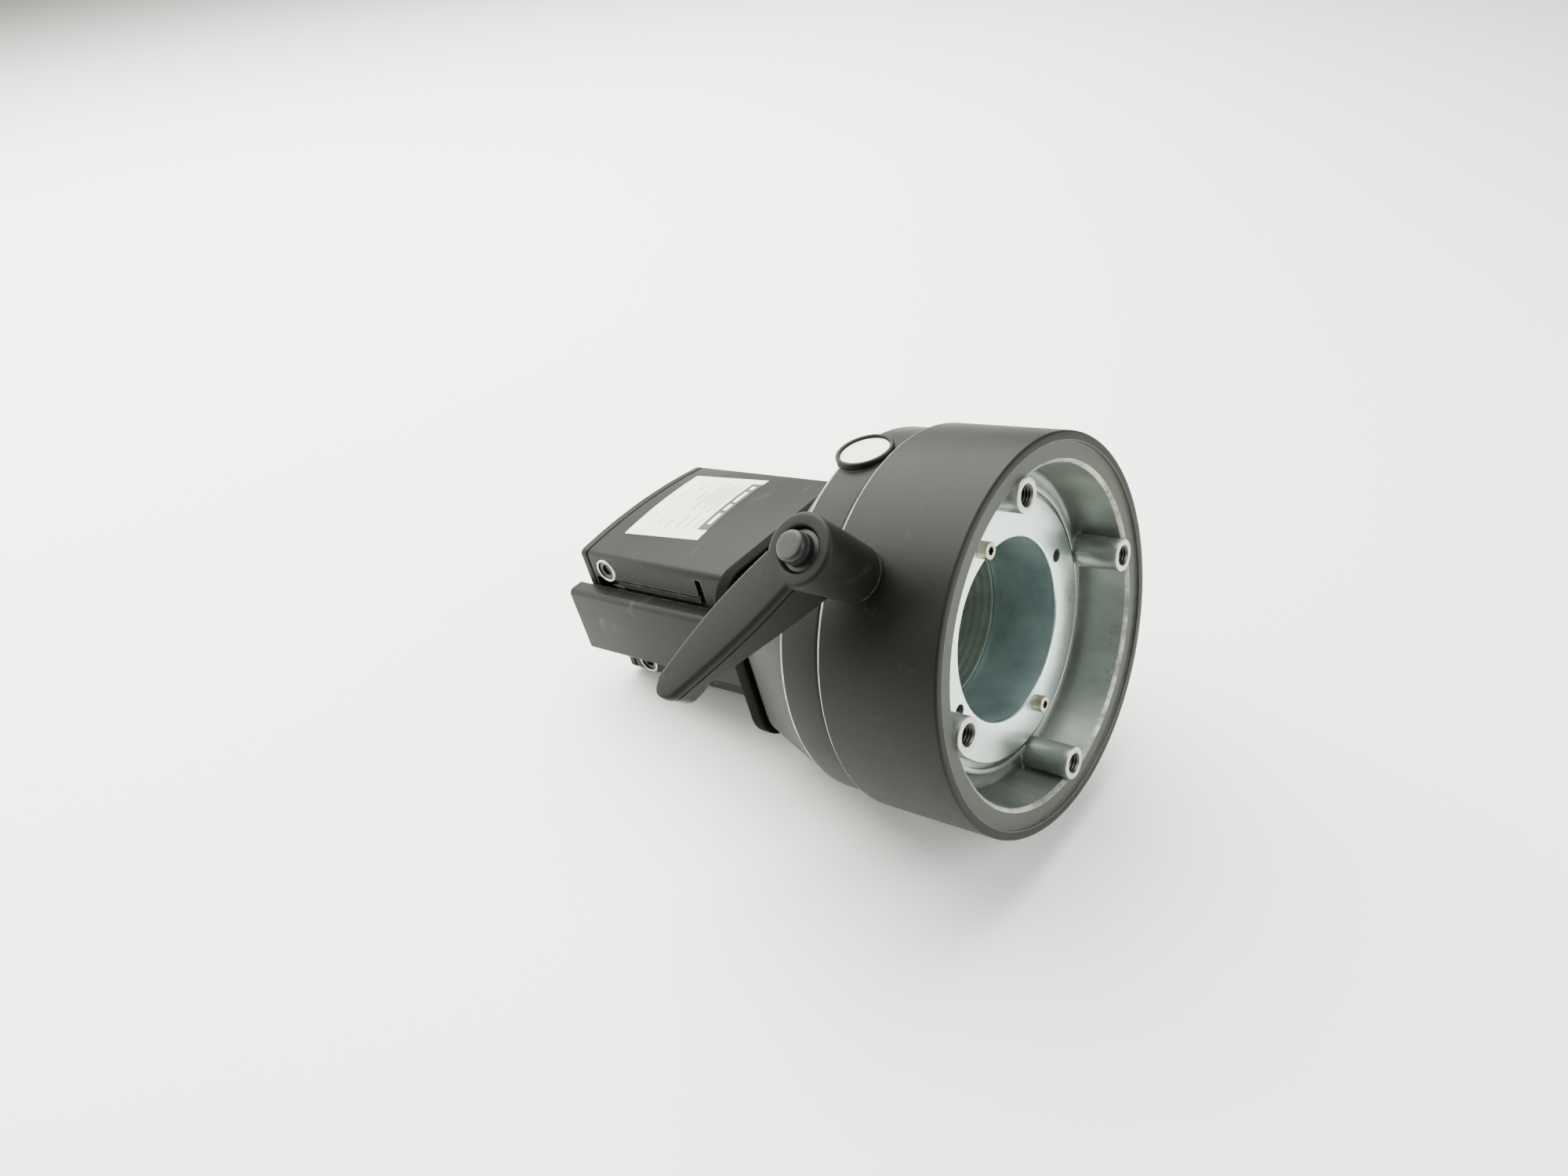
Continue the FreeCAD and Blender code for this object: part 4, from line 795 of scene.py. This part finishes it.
def make_covers():
    for name in ("cover_left", "cover_right"):
        node = "side_" + name
        rear, front = span(node, X)
        near, far = sorted(span(node, Y), key=abs)
        low, top = span(node, Z)
        ring = [(near, low), (far, low, 1.6), (far, top, 2.6), (near, top)]
        place(prism(rounded(ring, 6), rear, front, 1.1, "x", 4), name, "arm",
              [PAINT], replaces=[node])


def hex_points(flats):
    corner = flats / 2 / math.cos(math.radians(30))
    return [(corner * math.cos(math.radians(60 * k)), corner * math.sin(math.radians(60 * k)))
            for k in range(6)]


def socket_screw(name, matrix, body, material, head, height, socket, depth, shank=0.0,
                 length=0.0, replaces=(), dish=0.0):
    """A socket-head screw: rounded head standing on z = 0, hexagon recess, shank below."""
    crown = [(0.0, 0.0), (head - 0.15, 0.0), (head, 0.15), (head, height, 0.35)]
    if dish:
        crown += [(head - 1.1, height, 0.25), (head - 1.3, height - dish)]
    crown.append((0.0, height - dish))
    if shank:
        crown = [(0.0, -length), (shank - 0.4, -length), (shank, -length + 0.5),
                 (shank, 0.0)] + crown[1:]
    piece = place(moved(turned_solid(rounded(crown, 4), 72), matrix), name, body,
                  [material, DARK_STEEL], replaces=replaces)
    # the hexagon recess takes the dark steel slot: painted shade inside the socket
    recess = prism(hex_points(socket), height - dish - depth, height + 1.0, 0.0, "z")
    combine(piece, moved(painted(recess, 1), matrix), "DIFFERENCE")
    if dish:
        shade_dish(piece, matrix.inverted(), head - 1.15, height - 0.3)
    smooth(piece, 30)


def shade_dish(piece, to_screw, reach, level):
    """Give the sunken middle of a screw's head the darker slot: painted shade in the dish."""
    for polygon in piece.data.polygons:
        centre = to_screw @ (polygon.center / MM)
        if math.hypot(centre.x, centre.y) < reach and 0 < centre.z < level:
            polygon.material_index = 1


def make_side_screws():
    covered = ["tube_clamp_screws"]
    for side in (1, -1):
        hand = "right" if side > 0 else "left"
        for height, across, level in SIDE_SCREWS:
            matrix = side_frame(side, across - CLAMP_HEAD_DEPTH, height)
            socket_screw("clamp_screw_%s_%s" % (hand, level), matrix, "arm",
                         STEEL, 5.6, 2.5, 5.0, 1.3, 3.0, 10.0, covered, 0.9)
            covered = []


def make_label():
    """The label film and its print, bent over the crown of the housing."""
    centre = TOP_EDGE + CROWN - CROWN_RADIUS
    turn = math.radians(LABEL_TURN)

    def patch(name, x0, x1, y0, y1, low, high, material, slot, replaces=()):
        builder = bmesh.new()
        across = 28
        grid = {}
        for i, x in enumerate((x0, x1)):
            for j in range(across + 1):
                y = y0 + (y1 - y0) * j / across
                fx = LABEL_AT + x * math.cos(turn) - y * math.sin(turn)
                fy = LABEL_CENTRE + x * math.sin(turn) + y * math.cos(turn)
                for level in (low, high):
                    z = centre + math.sqrt((CROWN_RADIUS + level) ** 2 - fy ** 2)
                    grid[i, j, level] = builder.verts.new((fx, fy, z))
        for j in range(across):
            builder.faces.new([grid[0, j, high], grid[1, j, high], grid[1, j + 1, high],
                               grid[0, j + 1, high]])
            builder.faces.new([grid[0, j, low], grid[1, j, low], grid[1, j + 1, low],
                               grid[0, j + 1, low]])
            for i in (0, 1):
                builder.faces.new([grid[i, j, low], grid[i, j + 1, low],
                                   grid[i, j + 1, high], grid[i, j, high]])
        for j in (0, across):
            builder.faces.new([grid[0, j, low], grid[1, j, low], grid[1, j, high],
                               grid[0, j, high]])
        place(builder, name, "arm", [material], replaces=replaces)

    patch("label_sheet", -21.0, 21.0, -26.8, 26.8, 0.0, 0.18, FILM, "label_film",
          ["label_plate"])
    patch("label_band", 15.4, 21.0, -19.6, 22.2, 0.15, 0.22, INK, "label_film")
    marks = ((-15.0, -6.0), (-3.5, 2.0), (4.0, 14.0), (16.0, 19.5))
    for row, (start, end) in enumerate(marks, 1):
        patch("label_band_mark_%d" % row, 17.4, 19.4, start, end, 0.2, 0.25, PALE_INK,
              "label_film")
    lines = [(-14.0, 4.0, 10.0), (-8.5, -18.0, -13.0), (-8.5, 12.0, 19.0), (-3.0, -20.0, -14.0),
             (-3.0, 2.0, 12.0), (1.2, -6.0, 20.0), (3.4, -20.0, -9.0), (3.4, 1.0, 20.0),
             (5.6, -4.0, 15.0), (7.8, -20.0, -6.0), (7.8, 0.0, 20.0), (10.0, -6.0, 17.0),
             (12.2, -20.0, -10.0), (12.2, -4.0, 20.0)]
    for row, (x, start, end) in enumerate(lines, 1):
        patch("label_line_%02d" % row, x, x + 0.45, start, end, 0.16, 0.21, FADED_INK,
              "label_film")


# ------------------------------------------------------------------ flanged sleeve
def on_flange(angle):
    """A placement on the flange's face, at an angle on its hole circle."""
    a = math.radians(angle)
    return facing_x(FLANGE_AT, FLANGE_HOLE_CIRCLE * math.cos(a), FLANGE_HOLE_CIRCLE * math.sin(a))


def make_sleeve():
    bore, outside, flange_rear = 34.9, 36.9, -19.95
    profile = rounded([(FLANGE_AT, bore, 0.9), (FLANGE_AT, FLANGE_RADIUS, 0.35),
                       (flange_rear, FLANGE_RADIUS, 0.2), (flange_rear, outside),
                       (SLEEVE_REAR_AT, outside), (SLEEVE_REAR_AT, bore, 0.3)], 5)

    def part_of(face):
        centre = face.calc_center_median()
        reach = math.hypot(centre.y, centre.z)
        # the bore behind the flange takes the darker zinc copy: painted shade
        return 1 if reach < 35.3 and centre.x < -18.3 else 0

    piece = place(skin(profile, part_of), "sleeve_flange", "arm",
                  [ZINC, SHADED_SLEEVE_WALL], replaces=["flanged_sleeve"])
    for angle in (13.0, 193.0):
        combine(piece, moved(tube(2.6, -4.0, 2.0, 40), on_flange(angle)), "DIFFERENCE")
    smooth(piece, 30)
    covered = ["sleeve_screws"]
    for number, angle in enumerate((101.0, 281.0), 1):
        socket_screw("sleeve_screw_%d" % number, on_flange(angle), "arm",
                     YELLOW, 3.25, 4.0, 3.0, 2.2, 1.9, 8.0, covered)
        covered = []


# ------------------------------------------------------------------ clamping lever
def make_handle():
    hub = rounded([(7.2, 77.2), (10.3, 77.2, 0.5), (12.7, HUB_FACE, 1.6), (7.7, HUB_FACE, 1.1),
                   (7.4, 106.0), (7.4, HUB_LEDGE, 0.2), (7.2, HUB_LEDGE)], 6)
    piece = place(moved(turned_solid(hub, 128), LEVER), "handle", "handle",
                  [LEVER_PAINT], replaces=["lever_handle"])
    combine(piece, moved(arm_solid(), LEVER), "UNION")
    combine(piece, moved(tube(7.42, HUB_LEDGE, 107.5, 128), LEVER), "DIFFERENCE")
    combine(piece, moved(arm_hollow(), LEVER), "DIFFERENCE")
    smooth(piece, 34)


def arm_width(s, leading=False):
    """The arm's half width at s from the hub; its leading side flares into the hub."""
    if s > TIP_CENTRE:
        return math.sqrt(max(ARM_TIP ** 2 - (s - TIP_CENTRE) ** 2, 0.0))
    straight = ARM_ROOT + (ARM_TIP - ARM_ROOT) * s / TIP_CENTRE
    swell = math.sin(math.pi * s / TIP_CENTRE)
    if leading:
        return straight + 2.6 * swell + 1.4 * ((TIP_CENTRE - s) / TIP_CENTRE) ** 2
    return straight + 1.5 * swell


def arm_floor(s):
    """The reach of the arm's underside, rising from the hub towards the tip."""
    knots = [(0.0, 85.5), (12.0, 88.0), (34.0, 94.4), (55.0, 99.4), (59.0, 97.8), (64.0, 96.9),
             (70.0, 97.6)]
    for (a, low), (b, high) in zip(knots, knots[1:]):
        if s <= b:
            return low + (high - low) * (s - a) / (b - a)
    return knots[-1][1]


def arm_solid():
    """The arm, station by station: a flat top plate that overhangs slightly inset sides."""
    builder = bmesh.new()
    straight, curved = 26, 14
    along = [ARM_START + (TIP_CENTRE - ARM_START) * k / straight for k in range(straight + 1)]
    along += [TIP_CENTRE + ARM_TIP * math.sin(math.pi / 2 * k / curved)
              for k in range(1, curved)] + [69.77]
    rings = []
    for s in along:
        right = arm_side(s, max(arm_width(s), 0.35))
        left = [(-y, z) for y, z in arm_side(s, max(arm_width(s, True), 0.35))]
        rings.append([builder.verts.new((s, y, z)) for y, z in right + left[::-1]])
    for one, two in zip(rings, rings[1:]):
        count = len(one)
        for k in range(count):
            n = (k + 1) % count
            builder.faces.new((one[k], one[n], two[n], two[k]))
    builder.faces.new(rings[0])
    builder.faces.new(rings[-1])
    return builder


def arm_side(s, w):
    """One side of the arm's section: rounded top edge, lip, groove and wall."""
    top, low = HUB_FACE, arm_floor(s)
    r = min(2.0, 0.5 * w)
    groove, wall = min(1.1, 0.4 * w), min(0.45, 0.2 * w)
    points = [(w - r, top)]
    for k in range(1, 6):
        t = math.pi / 2 * k / 5
        points.append((w - r + r * math.sin(t), top - r + r * math.cos(t)))
    points += [(w, top - 2.7), (w - 0.25 * groove, top - 3.1), (w - groove, top - 3.3),
               (w - groove, top - 3.9), (w - wall, top - 4.3),
               (w - wall - 0.2, low + 1.2), (w - wall - min(1.2, 0.4 * w), low)]
    return points


def arm_hollow():
    """The casting's open underside, two walls and a roof under the top plate."""
    builder = bmesh.new()
    rings = []
    for s in (15.0, 24.0, 34.0, 44.0, 54.0, 61.5):
        w = arm_width(s) - ARM_WALL
        low, high = arm_floor(s) - 6.0, 105.6
        ring = [(-w, low), (w, low), (w - 0.4, high), (-w + 0.4, high)]
        rings.append([builder.verts.new((s, y, z)) for y, z in ring])
    for one, two in zip(rings, rings[1:]):
        for k in range(4):
            n = (k + 1) % 4
            builder.faces.new((one[k], one[n], two[n], two[k]))
    builder.faces.new(rings[0])
    builder.faces.new(rings[-1])
    return builder


def make_button():
    profile = rounded([(0.0, 110.6), (5.6, 110.6), (5.6, 101.4), (7.25, 101.4, 0.3),
                       (7.25, 107.3, 0.5), (5.55, 107.6, 0.4), (5.3, 114.05, 1.5),
                       (2.0, 114.1), (0.0, 114.1)], 6)
    place(moved(turned_solid(profile, 96), LEVER), "button_cap", "button",
          [BUTTON], replaces=["push_button"])


def make_bush():
    profile = rounded([(5.1, 62.0), (9.0, 62.0), (9.0, 74.3, 0.5), (5.1, 74.3, 0.3)], 4)
    place(moved(turned_solid(profile, 96), LEVER), "bush_collar", "drum",
          [DARK_STEEL], replaces=["clamp_bush"])


# ------------------------------------------------------------------ pieces kept from CAD
KEPT = {
    "brake_shoe": BRASS, "front_bearing": POLYMER, "rear_bearing": POLYMER,
    "friction_ring": POLYMER, "thrust_ring": POLYMER, "swivel_seal": RUBBER,
    "stop_screw": STEEL, "joint_screws": STEEL, "joint_washers": STEEL,
    "lever_stud": STEEL, "retainer_screw": STEEL, "retainer_washer": STEEL,
    "button_spring": STEEL,
}


def finish_kept():
    for name, material in KEPT.items():
        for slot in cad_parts[name].material_slots:
            slot.material = material


make_drum()
make_bush()
make_neck()
make_plug()
make_gasket()
make_housing()
make_end_frame()
make_covers()
make_side_screws()
make_label()
make_sleeve()
make_handle()
make_button()
finish_kept()


# ------------------------------------------------------------------ table and light
def make_table():
    """A pale table top, tilted so that the drum and the housing's rear both rest on it."""
    tilt = math.radians(TABLE_TILT)
    normal = Vector((math.sin(tilt), 0.0, math.cos(tilt)))
    low = min(normal.dot(piece.matrix_world @ vertex.co)
              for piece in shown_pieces() for vertex in piece.data.vertices)
    mesh = bpy.data.meshes.new("table_top")
    size, gap = 3.0, 0.0002
    mesh.from_pydata([(-size, -size, 0), (size, -size, 0), (size, size, 0), (-size, size, 0)],
                     [], [(0, 1, 2, 3)])
    mesh.materials.append(mild_floor())
    table = bpy.data.objects.new("table_top", mesh)
    bpy.context.scene.collection.objects.link(table)
    table.matrix_world = (Matrix.Translation(normal * (low - gap))
                          @ Matrix.Rotation(tilt, 4, "Y"))
    table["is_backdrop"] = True


def area_light(name, place_at, aim, width, height, power, colour):
    data = bpy.data.lights.new(name, "AREA")
    data.shape = "RECTANGLE"
    data.size = width
    data.size_y = height
    data.energy = power
    data.color = colour
    light = bpy.data.objects.new(name, data)
    bpy.context.scene.collection.objects.link(light)
    light.location = place_at
    light.rotation_mode = "QUATERNION"
    light.rotation_quaternion = (Vector(aim) - Vector(place_at)).to_track_quat("-Z", "Y")
    light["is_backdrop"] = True


def make_light():
    world = bpy.data.worlds.new("studio")
    world.use_nodes = True
    background = world.node_tree.nodes["Background"]
    background.inputs["Color"].default_value = (1.0, 1.0, 0.965, 1.0)
    background.inputs["Strength"].default_value = 0.36
    bpy.context.scene.world = world
    middle = (-0.08, 0.0, 0.0)
    area_light("top_box", (-0.45, 0.25, 1.05), middle, 1.6, 1.6, 96.0, (1.0, 1.0, 0.97))
    area_light("left_box", (-0.95, -0.65, 0.6), middle, 0.8, 0.6, 14.0, (1.0, 1.0, 0.96))
    area_light("front_box", (0.9, 0.1, 0.3), middle, 0.6, 0.6, 10.0, (0.95, 1.0, 1.0))


make_table()
make_light()
